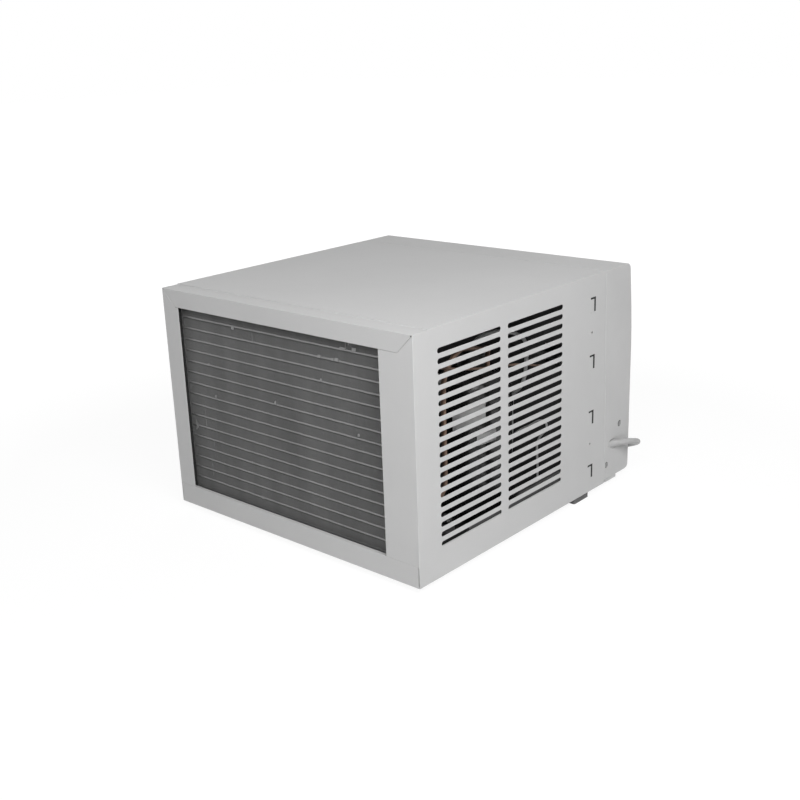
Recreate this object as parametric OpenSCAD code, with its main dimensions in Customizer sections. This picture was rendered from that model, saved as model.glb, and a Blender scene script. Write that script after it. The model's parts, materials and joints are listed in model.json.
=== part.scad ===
// Window air conditioner. The louvred steel cabinet closes over a base pan that
// carries the refrigeration set, and a plastic bezel closes the room side.
// The room side faces -Y, the condenser coil faces +Y, and Z = 0 is the floor.

/* [Cabinet] */
// Width over the side panels
body_w = 560; // [556:2:572]
// Height from the underside of the base pan to the top panel
body_h = 392; // [390:1:400]
// Depth from the rear frame to the front of the bezel
unit_d = 604; // [600:1:612]
// Thickness of the sheet steel
sheet_t = 1.2; // [1:0.1:1.5]
// Height of the rubber feet
foot_h = 10; // [8:1:14]
// Height of the frame below the coil opening
sill_h = 35; // [30:1:38]
// Height of the frame above the coil opening
head_h = 31; // [26:1:34]
// Width of the frame beside the coil opening at the left
left_stile = 66; // [60:1:70]
// Width of the frame beside the coil opening at the right
right_stile = 38.5; // [34:0.5:42]

/* [Side louvres] */
// Slots in each column
slot_rows = 20; // [12:1:20]
// Distance from one slot to the next
slot_pitch = 15.9; // [14:0.1:16]
// Height of a slot
slot_h = 8.3; // [6:0.1:9]
// Length of a slot
slot_len = 152; // [120:1:154]
// Width of the steel between the two columns
slot_gap = 18; // [14:1:20]
// Diameter of the screw holes for the window side frame
frame_hole_d = 4; // [3:0.5:5]

/* [Coils] */
// Distance from row to row in the condenser
cond_pitch = 19.35; // [17:0.05:19.35]
// Distance from row to row in the evaporator
evap_pitch = 21; // [18:0.5:21]
// Depth of the fins in both coils
fin_depth = 38; // [36:1:38]
// Outer diameter of the coil tubes
tube_d = 9.4; // [7:0.1:9.5]

/* [Fan, blower and motor] */
// Space between the fan's slinger ring and the base pan
fan_clear = 22; // [20:1:36]
// Number of fan blades
fan_blades = 5; // [4:1:6]
// Diameter of the blower wheel
blower_d = 202; // [184:2:206]
// Number of blower blades
blower_blades = 40; // [24:1:44]
// Diameter of the motor shaft
shaft_d = 12.7; // [10:0.1:14]
// Diameter of the fan motor
motor_d = 120; // [100:2:124]
// Diameter of the compressor
compressor_d = 124; // [112:2:126]
// Height of the compressor shell
compressor_h = 240; // [200:5:250]

/* [Front] */
// Thickness of the moulded walls
wall_t = 2.5; // [2:0.1:3]
// Rows of slots in the intake grille
grille_rows = 19; // [12:1:20]
// Diameter of the two control knobs
knob_d = 34; // [28:1:36]

/* [Power cord] */
// Diameter of the power cord
cord_d = 11; // [10:0.5:11]

/* [Hidden] */
$fn = 64;

// Clearances: pieces that only sit together, and pins that turn in holes
seat_gap = 0.2;
seam_gap = 0.5;
pin_gap = 0.08;
half_w = body_w / 2;
tube_r = tube_d / 2;

// Depths are measured from the rear frame towards the room
coil_p0 = 12;
coil_p1 = coil_p0 + fin_depth;
coil_columns = [coil_p0 + fin_depth / 2 - 8.25, coil_p0 + fin_depth / 2 + 8.25];
shroud_p = coil_p1 + 24;
fan_p = shroud_p + 6;
fan_depth = 42;
slots_p = 53;
lap_p = 33;
lap_w = 12;
room_side_d = 219;
motor_back = 189;
bulkhead_p = unit_d - room_side_d;
motor_p = bulkhead_p - motor_back;
motor_len = 80;
scroll_p = bulkhead_p + sheet_t;
inlet_p = unit_d - 124;
evap_p = inlet_p + 10;
evap_columns = [evap_p + fin_depth / 2 - 8.25, evap_p + fin_depth / 2 + 8.25];
seam_top_p = unit_d - 97;
seam_lean = 9.5;
hook_p = unit_d - 139;
filter_p = unit_d - 58;
pan_d = unit_d - 49;
outlet_p = unit_d - 16.5;
level_axis_p = unit_d - 27;
upright_axis_p = unit_d - 54;
panel_p = unit_d - 30;

// Heights are measured from the underside of the base pan
pan_wall_h = 50;
flange_z = body_h - sheet_t;
bezel_z0 = 5.6;
intake_z = [32, body_h - 102];
outlet_z = [body_h - 89, body_h - 19];
duct_z = outlet_z[0] - 2;
pipe_z = duct_z - 34;

// The coils hold as many rows as fit in the space that the cabinet gives them
cond_z0 = 19.5;
cond_space = body_h - 28 - cond_z0;
cond_rows = floor((cond_space - 10) / cond_pitch);
cond_z1 = cond_z0 + cond_rows * cond_pitch + 10;
evap_z0 = 32;
evap_rows = floor((duct_z - evap_z0 - 6) / evap_pitch);
evap_z1 = evap_z0 + evap_rows * evap_pitch + 6;

// The blower sits below the outlet duct. The fan shares its shaft, and fills the space
// that is left above and below it
scroll_gap = 6;
scroll_t = 3;
fan_z = duct_z - blower_d / 2 - scroll_gap - 2 * scroll_t;
shroud_drop = 16;
fan_d = 2 * (min(fan_z, body_h - shroud_drop - fan_z) - fan_clear);

// Places across the width
fan_x = -10;
cond_x = [-half_w + 55, half_w - 32];
evap_x = [-half_w + 30, half_w - 45];
compressor_x = -half_w + 92;
compressor_p = bulkhead_p - 130;
outlet_x = [-half_w + 18, half_w - 136];
panel_x = [half_w - 128, half_w - 18];
knob_x = [panel_x[0] + 22, panel_x[0] + 64];
vent_x = panel_x[1] - 11;

// Depth of the curved front at height z
front_radius = 3165;
function front_p(z) = unit_d - pow(max(z - 60, 0), 2) / (2 * front_radius);
function seam_p(z) = seam_top_p + seam_lean * (1 - z / body_h);
function from_rear(p) = unit_d / 2 - p;
function arc(cx, cy, r, a0, a1, n) =
    [for (i = [0:n]) let (a = a0 + (a1 - a0) * i / n) [cx + r * cos(a), cy + r * sin(a)]];

// A box given by its limits across, from the rear and above the base
module block(x, p, z) {
    translate([x[0], from_rear(p[1]), foot_h + z[0]])
        cube([x[1] - x[0], p[1] - p[0], z[1] - z[0]]);
}

// Local X and Y lie across and up, and local Z runs from the rear to the room
module facing(p, x = 0, z = 0) {
    translate([x, from_rear(p), foot_h + z]) rotate([90, 0, 0]) children();
}

// Local X is the depth from the rear, Y is up, and the extrusion runs along +X
module sideways(x) {
    translate([x, from_rear(0), foot_h]) mirror([0, 1, 0]) rotate([90, 0, 90]) children();
}

module both_sides() {
    children();
    mirror([1, 0, 0]) children();
}

module rounded_box(x, p, z, r) {
    for (cx = [x[0] + r, x[1] - r], cp = [p[0] + r, p[1] - r])
        translate([cx, from_rear(cp), foot_h + z[0]]) cylinder(r = r, h = z[1] - z[0], $fn = 32);
    block([x[0] + r, x[1] - r], p, z);
    block(x, [p[0] + r, p[1] - r], z);
}

// ---------------------------------------------------------------- swept tubes

// A point and its tangent on the smooth curve through a list of points
function spline(pts, i, t) =
    let (a = pts[max(i - 1, 0)], b = pts[i], c = pts[i + 1], d = pts[min(i + 2, len(pts) - 1)])
    0.5 * (2 * b + (c - a) * t + (2 * a - 5 * b + 4 * c - d) * t * t
        + (3 * b - 3 * c + d - a) * t * t * t);
function dense(pts, steps) = [
    for (i = [0:len(pts) - 2], s = [0:steps - 1]) spline(pts, i, s / steps),
    pts[len(pts) - 1],
];
function unit(v) = v / norm(v);
function heading(line, i) = unit(line[min(i + 1, len(line) - 1)] - line[max(i - 1, 0)]);
function ring_frame(d) =
    let (side = unit(cross(d, abs(d[2]) > 0.9 ? [1, 0, 0] : [0, 0, 1]))) [side, cross(side, d)];
// Each ring's frame is carried on from the ring before, so the tube doesn't twist
function carried(line, i, side) =
    let (d = heading(line, i), flat = unit(side - (side * d) * d)) [flat, cross(flat, d)];
function frames(line, i = 0, last = undef) =
    i == len(line) ? [] :
    let (f = i == 0 ? ring_frame(heading(line, 0)) : carried(line, i, last[0]))
    concat([f], frames(line, i + 1, f));

module swept_tube(points, r, steps = 2, sides = 10) {
    line = dense([for (q = points) [q[0], from_rear(q[1]), foot_h + q[2]]], steps);
    turned = frames(line);
    rings = [
        for (i = [0:len(line) - 1], k = [0:sides - 1])
            let (a = 360 * k / sides) line[i] + r * (cos(a) * turned[i][0] + sin(a) * turned[i][1])
    ];
    last = (len(line) - 1) * sides;
    walls = [
        for (i = [0:len(line) - 2], k = [0:sides - 1])
            let (k2 = (k + 1) % sides)
            [i * sides + k, (i + 1) * sides + k, (i + 1) * sides + k2, i * sides + k2]
    ];
    caps = [[for (k = [0:sides - 1]) k], [for (k = [sides - 1:-1:0]) last + k]];
    polyhedron(points = rings, faces = concat(walls, caps), convexity = 10);
}

// ------------------------------------------------------------ base and cabinet

foot_size = [30, 45];
pan_half_w = half_w - sheet_t - seat_gap;
sill_half_w = pan_half_w - sheet_t;
pan_side_d = seam_top_p - 3;
corner_slit = 0.4;
rib_h = 3;

module base_pan() {
    color("gainsboro") {
        difference() {
            union() {
                block([-pan_half_w, pan_half_w], [0, pan_d], [0, sheet_t]);
                block([-sill_half_w, sill_half_w], [0, sheet_t], [0, sill_h]);
                for (x = [-half_w, half_w - sheet_t])
                    block([x, x + sheet_t], [seam_p(0) + 2, pan_d], [0, bezel_z0 - seam_gap]);
                block([-half_w, half_w], [seam_p(0) + 2, pan_d], [0, sheet_t]);
                block([-pan_half_w + 2, pan_half_w - 2], [pan_d - sheet_t, pan_d], [0, 14]);
            }
            translate([120, from_rear(30), -1]) cylinder(d = 14, h = foot_h + 20);
        }
        both_sides()
            block([pan_half_w - sheet_t, pan_half_w], [sheet_t + corner_slit, pan_side_d],
                [0, pan_wall_h]);
        // Return lip inside the sill, as a pressed rim has
        block([-sill_half_w, sill_half_w], [0, 7], [sill_h - sheet_t, sill_h]);
        // Pressed stiffening ribs
        for (p = [-235, -55, 55])
            block([-half_w + 80, half_w - 80], [bulkhead_p + p - 4, bulkhead_p + p + 4],
                [sheet_t, sheet_t + rib_h]);
    }
}

module foot(outer_x, rear) {
    rounded_box([outer_x - foot_size[0], outer_x], [rear, rear + foot_size[1]], [-foot_h, 0], 3);
}

module rubber_feet() {
    color("dimgray")
    both_sides() {
        foot(half_w - 2, hook_p - 44);
        foot(half_w - 80, 60);
    }
}

slots_z0 = body_h / 2 + 8.6 - (slot_rows - 1) * slot_pitch / 2;
hook_pitch = 100.8;
hook_top_z = body_h - 38.5;
frame_hole_z = [91, 292.5];

module slot(p, z) {
    translate([p + slot_h / 2, z]) circle(d = slot_h);
    translate([p + slot_len - slot_h / 2, z]) circle(d = slot_h);
    translate([p + slot_h / 2, z - slot_h / 2]) square([slot_len - slot_h, slot_h]);
}

// The pressed hook for the window side frame leaves an angled cut, with a relief hole below
hook_h = 25;
hook_w = 10.7;
hook_slit = [5, 3.2];
module hook_cut(z) {
    root = hook_p - 6;
    translate([root + hook_w, z - hook_h]) square([hook_slit[0], hook_h]);
    translate([root, z - hook_slit[1]]) square([hook_w + 1, hook_slit[1]]);
    translate([root + 2, z - hook_h - 1.5]) circle(d = 1.6, $fn = 24);
}

module side_outline() {
    difference() {
        polygon([
            [0, 0.3], [seam_p(0) - seam_gap, 0.3], [seam_p(body_h) - seam_gap, body_h],
            [lap_p, body_h], [lap_p, flange_z], [0, flange_z],
        ]);
        for (i = [0:slot_rows - 1], p = [slots_p, slots_p + slot_len + slot_gap])
            slot(p, slots_z0 + i * slot_pitch);
        for (i = [0:3])
            hook_cut(hook_top_z - i * hook_pitch);
        for (z = frame_hole_z)
            translate([hook_p, z]) circle(d = frame_hole_d, $fn = 32);
    }
}

// A stile of the rear frame, mitred where the head laps it
module stile(width) {
    low = sill_h + seat_gap;
    lap = body_h - head_h - seam_gap;
    polygon([
        [0, low], [width, low], [width, lap], [head_h - sheet_t, lap], [0, flange_z - seam_gap],
    ]);
}

module rear_frame() {
    relief = 4;
    mitre = head_h - sheet_t - relief;
    facing(0) linear_extrude(sheet_t) {
        translate([-half_w, 0]) stile(left_stile);
        translate([half_w, 0]) mirror([1, 0]) stile(right_stile);
        polygon([
            [-half_w + relief, flange_z], [-half_w + relief, flange_z - relief],
            [-half_w + relief + mitre, body_h - head_h], [half_w - relief - mitre, body_h - head_h],
            [half_w - relief, flange_z - relief], [half_w - relief, flange_z],
        ]);
    }
}

module cabinet_wrapper() {
    color("whitesmoke") {
        for (x = [-half_w, half_w - sheet_t])
            sideways(x) linear_extrude(sheet_t) side_outline();
        block([-half_w, half_w], [lap_p, seam_p(body_h) - seam_gap], [flange_z, body_h]);
        // The rear frame's top flange passes under the top panel
        block([-half_w, half_w], [0, lap_p + lap_w], [flange_z - sheet_t, flange_z]);
        rear_frame();
    }
}

// ---------------------------------------------------------------------- coils

module fin_pack(x, p, z, columns, rows, pitch, first_z) {
    difference() {
        block(x, p, z);
        for (i = [0:rows - 1], c = columns)
            translate([x[0] - 1, from_rear(c), foot_h + first_z + i * pitch])
                rotate([0, 90, 0]) cylinder(r = tube_r + 0.05, h = x[1] - x[0] + 2, $fn = 24);
    }
}

module return_bend(x, p, z, pitch, out) {
    translate([x, from_rear(p), foot_h + z + pitch / 2])
        rotate([90, out > 0 ? 90 : -90, 0])
            rotate_extrude(angle = 180, $fn = 32) translate([pitch / 2, 0]) circle(r = tube_r, $fn = 24);
}

// Joins the lowest tubes of the two columns
module crossover(x, columns, z, out) {
    translate([x, from_rear((columns[0] + columns[1]) / 2), foot_h + z]) rotate(out > 0 ? -90 : 90)
        rotate_extrude(angle = 180, $fn = 32)
            translate([(columns[1] - columns[0]) / 2, 0]) circle(r = tube_r, $fn = 24);
}

// Straight tubes joined end to end by bends, so the coil is one long run
module serpentine(x, columns, rows, pitch, first_z) {
    reach = sheet_t + 2;
    for (c = columns) {
        for (i = [0:rows - 1])
            translate([x[0] - reach, from_rear(c), foot_h + first_z + i * pitch])
                rotate([0, 90, 0]) cylinder(r = tube_r, h = x[1] - x[0] + 2 * reach, $fn = 24);
        for (i = [0:rows - 2]) {
            right = (rows - 1 - i) % 2 == 1;
            return_bend(right ? x[1] + reach : x[0] - reach, c, first_z + i * pitch, pitch,
                right ? 1 : -1);
        }
    }
    last_right = rows % 2 == 1;
    crossover(last_right ? x[1] + reach : x[0] - reach, columns, first_z, last_right ? 1 : -1);
}

module end_plates(x, p, z, columns, rows, pitch, first_z) {
    for (side = [x[0] - sheet_t, x[1]])
        sideways(side) linear_extrude(sheet_t)
            difference() {
                translate([p[0], z[0]]) square([p[1] - p[0], z[1] - z[0]]);
                for (i = [0:rows - 1], c = columns)
                    translate([c, first_z + i * pitch]) circle(r = tube_r + 0.1, $fn = 24);
            }
}

cond_first_z = cond_z0 + 5 + cond_pitch / 2;
evap_first_z = evap_z0 + 3 + evap_pitch / 2;

module condenser_fins() {
    color("slategray")
    fin_pack(cond_x, [coil_p0, coil_p1], [cond_z0, cond_z1], coil_columns, cond_rows, cond_pitch,
        cond_first_z);
}

module condenser_tubes() {
    color("peru") serpentine(cond_x, coil_columns, cond_rows, cond_pitch, cond_first_z);
}

module condenser_end_plates() {
    color("silver")
    end_plates(cond_x, [coil_p0, coil_p1], [sheet_t, cond_z1 + 2], coil_columns, cond_rows,
        cond_pitch, cond_first_z);
}

module evaporator_fins() {
    color("lightsteelblue")
    fin_pack(evap_x, [evap_p, evap_p + fin_depth], [evap_z0, evap_z1], evap_columns, evap_rows,
        evap_pitch, evap_first_z);
}

module evaporator_tubes() {
    color("peru") serpentine(evap_x, evap_columns, evap_rows, evap_pitch, evap_first_z);
}

tray_floor = sheet_t + 2;
module evaporator_end_plates() {
    color("silver")
    end_plates(evap_x, [evap_p, evap_p + fin_depth], [tray_floor, evap_z1 + 2], evap_columns,
        evap_rows, evap_pitch, evap_first_z);
}

module drain_tray() {
    color("ivory")
    difference() {
        block([-half_w + 16, half_w - 16], [inlet_p + 3, evap_p + fin_depth + 12], [sheet_t, 28]);
        block([-half_w + 18, half_w - 18], [inlet_p + 5, evap_p + fin_depth + 10], [tray_floor, 29]);
    }
}

// ----------------------------------------------------------- fan and its motor

ring_r = fan_d / 2;
orifice_r = ring_r + 7;

module fan_shroud() {
    outer_x = [cond_x[0] - 1, cond_x[1] + 1];
    outer_z = [sheet_t, body_h - head_h + 5];
    color("gray") {
        difference() {
            block(outer_x, [coil_p1 + seat_gap, shroud_p + wall_t], outer_z);
            block([outer_x[0] + wall_t, outer_x[1] - wall_t], [coil_p1, shroud_p],
                [outer_z[0] + wall_t, outer_z[1] - wall_t]);
            facing(shroud_p - 1, fan_x, fan_z) cylinder(r = orifice_r, h = 10, $fn = 128);
        }
        difference() {
            facing(shroud_p, fan_x, fan_z) cylinder(r = orifice_r + wall_t, h = 26, $fn = 128);
            facing(shroud_p - 1, fan_x, fan_z) cylinder(r = orifice_r, h = 40, $fn = 128);
        }
    }
}

hub_r = 36;
module fan_blade() {
    sweep = 300 / fan_blades / 2;
    chord_r = 74;
    intersection() {
        linear_extrude(fan_depth)
            polygon(concat(
                arc(0, 0, hub_r - 3, -sweep * 0.7, sweep * 0.7, 6),
                arc(0, 0, ring_r - 2, sweep, -sweep, 16)));
        // A cambered sheet, set at the pitch of the blade
        translate([0, 0, fan_depth / 2]) rotate([90, 0, 90]) linear_extrude(ring_r + 5)
            rotate(27) translate([0, -2 * chord_r])
                difference() {
                    circle(r = 2 * chord_r + 1.2, $fn = 96);
                    circle(r = 2 * chord_r - 1.2, $fn = 96);
                    translate([-3 * chord_r, -3 * chord_r]) square([6 * chord_r, 4.2 * chord_r]);
                }
    }
}

module condenser_fan() {
    color("lightgray")
    facing(fan_p, fan_x, fan_z)
        difference() {
            union() {
                cylinder(r = hub_r, h = fan_depth - 4);
                for (i = [0:fan_blades - 1])
                    rotate(i * 360 / fan_blades) fan_blade();
                // Slinger ring, which throws condensate on the coil
                rotate_extrude($fn = 128) translate([ring_r - 3, 0]) square([3, 14]);
            }
            translate([0, 0, 6]) difference() {
                cylinder(r = hub_r - 3, h = fan_depth);
                cylinder(d = shaft_d + 12, h = fan_depth);
            }
            translate([0, 0, -1]) cylinder(d = shaft_d + 2 * pin_gap, h = fan_depth + 4);
        }
}

shaft_p = [fan_p - 4, inlet_p - 6];
module motor_shaft() {
    color("silver") {
        facing(shaft_p[0], fan_x, fan_z) cylinder(d = shaft_d, h = shaft_p[1] - shaft_p[0]);
        // Nut that holds the fan
        facing(fan_p - 5.2, fan_x, fan_z) cylinder(d = shaft_d + 10, h = 5, $fn = 6);
    }
}

wheel_w = inlet_p - scroll_p - 16;
wheel_p = scroll_p + 8;
module blower_blade() {
    curve_r = 16;
    span = blower_d / 2 - 3;
    polygon(concat(
        [for (q = arc(span - curve_r, -curve_r * 0.55, curve_r, 8, 92, 6)) q],
        [for (q = arc(span - curve_r, -curve_r * 0.55, curve_r - 1.2, 92, 8, 6)) q]));
}

module blower_wheel() {
    r = blower_d / 2;
    color("dimgray")
    facing(wheel_p, fan_x, fan_z) {
        linear_extrude(wheel_w)
            for (i = [0:blower_blades - 1])
                rotate(i * 360 / blower_blades) blower_blade();
        difference() {
            union() {
                cylinder(r = r, h = 2, $fn = 96);
                cylinder(d = shaft_d + 16, h = 34);
            }
            translate([0, 0, -1]) cylinder(d = shaft_d + 2 * pin_gap, h = 40);
        }
        translate([0, 0, wheel_w - 4]) rotate_extrude($fn = 96) translate([r - 4, 0]) square([4, 4]);
    }
}

module fan_motor() {
    r = motor_d / 2;
    color("darkgray")
    facing(motor_p, fan_x, fan_z) {
        rotate_extrude($fn = 96)
            polygon([
                [shaft_d / 2 + pin_gap, -8], [18, -8], [20, 0], [r - 10, 2], [r - 4, 8], [r - 4, 18],
                [r, 18], [r, motor_len - 18], [r - 4, motor_len - 18], [r - 4, motor_len - 8],
                [r - 10, motor_len - 2], [20, motor_len], [18, motor_len + 8],
                [shaft_d / 2 + pin_gap, motor_len + 8],
            ]);
    }
}

module motor_bracket() {
    band_r = motor_d / 2 + seat_gap;
    stand_w = 150;
    waist_w = 84;
    base_y = sheet_t - fan_z;
    color("silver")
    facing(motor_p + 24, fan_x, fan_z) linear_extrude(32)
        difference() {
            union() {
                circle(r = band_r + 3, $fn = 96);
                polygon([
                    [-stand_w / 2, base_y], [stand_w / 2, base_y],
                    [waist_w / 2, -motor_d / 3], [-waist_w / 2, -motor_d / 3],
                ]);
            }
            circle(r = band_r, $fn = 96);
            polygon([
                [-stand_w / 2 + 14, base_y + 3], [stand_w / 2 - 14, base_y + 3],
                [waist_w / 2 - 10, -band_r - 12], [-waist_w / 2 + 10, -band_r - 12],
            ]);
        }
}

// -------------------------------------------------------- room side air system

vent_z = [body_h - 86, body_h - 42];
vent_door_x = [vent_x - 46, vent_x + 10];
vent_pin_z = vent_z[1] + 4;
vent_pin_p = bulkhead_p + sheet_t + 3.2;
pipe_notch_x = [-half_w + 8, -half_w + 42];
pipe_notch_z = [pipe_z - 15, pipe_z + 19];

module bulkhead() {
    color("gainsboro") {
        difference() {
            block([-pan_half_w + sheet_t + seat_gap, pan_half_w - sheet_t - seat_gap],
                [bulkhead_p, bulkhead_p + sheet_t], [sheet_t, body_h - sheet_t - seat_gap]);
            facing(bulkhead_p - 1, fan_x, fan_z) cylinder(d = shaft_d + 12, h = 5);
            block([vent_door_x[0] + 5, vent_door_x[1] - 5], [bulkhead_p - 1, bulkhead_p + 5],
                [vent_z[0] + 4, vent_z[1] - 4]);
            block(pipe_notch_x, [bulkhead_p - 1, bulkhead_p + 5], pipe_notch_z);
        }
        // Foot flange and the two lugs that carry the vent door
        block([-pan_half_w + 5, pan_half_w - 5], [bulkhead_p - 14, bulkhead_p], [sheet_t, 2 * sheet_t]);
        for (x = [vent_door_x[0] - 4, vent_door_x[1] + 1])
            difference() {
                block([x, x + 3], [bulkhead_p, vent_pin_p + 3.5], [vent_pin_z - 3.5, vent_pin_z + 3.5]);
                translate([x - 1, from_rear(vent_pin_p), foot_h + vent_pin_z])
                    rotate([0, 90, 0]) cylinder(d = 3 + 2 * pin_gap, h = 5, $fn = 32);
            }
    }
}

scroll_r0 = blower_d / 2 + scroll_gap;
scroll_grow = 34;
tongue_a = 80;
outlet_y = duct_z - fan_z;
function scroll_r(a) = scroll_r0 + scroll_grow * (a - tongue_a) / (360 - tongue_a);
function scroll_line(grow) = concat(
    [for (i = [0:35]) let (a = tongue_a + (360 - tongue_a) * i / 35, r = scroll_r(a) + grow)
        [r * cos(a), r * sin(a)]],
    [[scroll_r(360) + grow, outlet_y], [scroll_r(tongue_a) * cos(tongue_a) - grow, outlet_y]]);

module scroll_housing() {
    color("whitesmoke")
    facing(scroll_p, fan_x, fan_z)
        difference() {
            linear_extrude(inlet_p - scroll_p) polygon(scroll_line(scroll_t));
            translate([0, 0, scroll_t]) linear_extrude(inlet_p) polygon(scroll_line(0));
            translate([0, 0, -1]) cylinder(d = shaft_d + 14, h = 6);
        }
}

module blower_inlet_plate() {
    color("whitesmoke")
    difference() {
        union() {
            block([-half_w + 8, half_w - 8], [inlet_p, inlet_p + wall_t], [sheet_t, duct_z]);
            facing(inlet_p - 4, fan_x, fan_z)
                rotate_extrude($fn = 96) translate([blower_d / 2 - 20, 0]) square([3, 5]);
        }
        facing(inlet_p - 5, fan_x, fan_z) cylinder(r = blower_d / 2 - 20, h = 10, $fn = 96);
        block(pipe_notch_x - [2, 16], [inlet_p - 1, inlet_p + 5], pipe_notch_z);
    }
}

frame_p0 = upright_axis_p - 24;
module discharge_duct() {
    x = [outlet_x[0] - 2, outlet_x[1]];
    z = [duct_z, body_h - 6];
    color("white")
    difference() {
        block(x, [scroll_p, frame_p0 - seat_gap], z);
        block([x[0] + 3, x[1] - 3], [scroll_p + 3, frame_p0 + 1], [z[0] + 3, z[1] - 3]);
        block([fan_x + 18, fan_x + scroll_r(360)], [scroll_p + 3, inlet_p], [z[0] - 1, z[0] + 4]);
    }
}

// ----------------------------------------------------------------- compressor

plate_z = [22, 25];
grommet_ring = compressor_d / 2 + 14;
module around_compressor() {
    for (a = [90, 210, 330])
        translate([compressor_x, from_rear(compressor_p), foot_h])
            rotate(a) translate([grommet_ring, 0, 0]) children();
}

module compressor() {
    r = compressor_d / 2;
    color("black") {
        translate([compressor_x, from_rear(compressor_p), foot_h + plate_z[1]])
            rotate_extrude($fn = 96)
                polygon(concat(
                    [[0, 0], [r * 0.6, 0]],
                    arc(r - 16, 16, 16, -70, 0, 5),
                    [[r, compressor_h - 60], [r + 2, compressor_h - 60], [r + 2, compressor_h - 52],
                     [r, compressor_h - 52]],
                    arc(r - 30, compressor_h - 30, 30, 0, 75, 6),
                    [[34, compressor_h + 4], [0, compressor_h + 4]]));
        difference() {
            union() {
                translate([compressor_x, from_rear(compressor_p), foot_h + plate_z[0]])
                    cylinder(r = 42, h = plate_z[1] - plate_z[0]);
                around_compressor()
                    translate([0, 0, plate_z[0]]) cylinder(r = 14, h = plate_z[1] - plate_z[0]);
                around_compressor()
                    translate([-40, -12, plate_z[0]]) cube([40, 24, plate_z[1] - plate_z[0]]);
            }
            around_compressor() cylinder(r = 5.2, h = 40);
        }
    }
}

module compressor_grommets() {
    color("dimgray")
    around_compressor()
        translate([0, 0, sheet_t])
            rotate_extrude($fn = 48)
                polygon([
                    [5, 0], [12, 0], [12, 5], [10.5, 6.5], [12, 8], [12, 13], [11, plate_z[0] - sheet_t],
                    [5, plate_z[0] - sheet_t],
                ]);
}

module compressor_bolts() {
    color("silver")
    around_compressor() {
        translate([0, 0, sheet_t]) cylinder(r = 4.6, h = plate_z[1] + 6 - sheet_t);
        translate([0, 0, plate_z[1]]) cylinder(r = 9, h = 1.5);
        translate([0, 0, plate_z[1] + 1.5]) cylinder(r = 7.5, h = 6, $fn = 6);
    }
}

compressor_top = plate_z[1] + compressor_h + 4;
module terminal_cover() {
    color("black")
    translate([compressor_x + 6, from_rear(compressor_p) - 4, foot_h + compressor_top])
        difference() {
            union() {
                cylinder(r = 24, h = 22);
                translate([0, 0, 22]) cylinder(r1 = 24, r2 = 18, h = 5);
            }
            translate([0, 0, -1]) cylinder(r = 21, h = 20);
        }
}

accumulator_x = compressor_x + 50;
accumulator_p = compressor_p + compressor_d / 2 + 14;
accumulator_z = [84, 262];
accumulator_r = 25;
module suction_accumulator() {
    gap = norm([accumulator_x - compressor_x, accumulator_p - compressor_p]) - compressor_d / 2;
    elbow = 12;
    turn = atan2(compressor_p - accumulator_p, accumulator_x - compressor_x) + 180;
    color("dimgray")
    translate([accumulator_x, from_rear(accumulator_p), foot_h]) {
        rotate_extrude($fn = 64)
            polygon([
                [0, accumulator_z[0]], [7, accumulator_z[0]], [9, accumulator_z[0] + 8],
                [accumulator_r - 3, accumulator_z[0] + 20], [accumulator_r, accumulator_z[0] + 30],
                [accumulator_r, accumulator_z[1] - 36], [accumulator_r - 3, accumulator_z[1] - 26],
                [9, accumulator_z[1] - 14], [6, accumulator_z[1]], [0, accumulator_z[1]],
            ]);
        // Elbow into the compressor shell
        rotate(turn) {
            translate([elbow, 0, accumulator_z[0]]) rotate([-90, 0, 0]) mirror([1, 0, 0])
                rotate_extrude(angle = 90, $fn = 32) translate([elbow, 0]) circle(r = 5, $fn = 24);
            translate([elbow, 0, accumulator_z[0] - elbow]) rotate([0, 90, 0])
                cylinder(r = 5, h = gap - elbow, $fn = 24);
        }
    }
}

cond_inlet_z = cond_first_z + (cond_rows - 1) * cond_pitch;
evap_inlet_z = evap_first_z + (evap_rows - 1) * evap_pitch;
stub = sheet_t + 2;

// The hot gas pipe drops in a long loop, which keeps the compressor's shaking off the coil
loop_z = compressor_top - 150;
module discharge_pipe() {
    color("peru")
    swept_tube([
        [compressor_x - 28, compressor_p, compressor_top],
        [compressor_x - 28, compressor_p, compressor_top + 8],
        [compressor_x - 28, compressor_p, compressor_top + 20],
        [compressor_x - 40, compressor_p - 15, compressor_top + 40],
        [-half_w + 32, compressor_p - 55, compressor_top + 50],
        [-half_w + 22, coil_p1 + 94, cond_inlet_z - 8],
        [-half_w + 19, coil_p1 + 62, cond_inlet_z - 14],
        [-half_w + 18, coil_p1 + 42, cond_inlet_z - 36],
        [-half_w + 18, coil_p1 + 36, cond_inlet_z - 62],
        [-half_w + 18, coil_p1 + 36, loop_z + 60],
        [-half_w + 18, coil_p1 + 35, loop_z + 18],
        [-half_w + 18, coil_p1 + 22, loop_z],
        [-half_w + 18, coil_p1 + 4, loop_z],
        [-half_w + 18, coil_p1 - 9, loop_z + 18],
        [-half_w + 18, coil_p1 - 10, loop_z + 60],
        [-half_w + 18, coil_p1 - 10, cond_inlet_z - 48],
        [-half_w + 22, coil_columns[1] + 1, cond_inlet_z - 22],
        [-half_w + 28, coil_columns[1], cond_inlet_z - 7],
        [cond_x[0] - stub - 10, coil_columns[1], cond_inlet_z - 1],
        [cond_x[0] - stub - 7, coil_columns[1], cond_inlet_z],
        [cond_x[0] - stub - 3, coil_columns[1], cond_inlet_z],
        [cond_x[0] - stub, coil_columns[1], cond_inlet_z],
    ], 4, 3);
}

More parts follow.
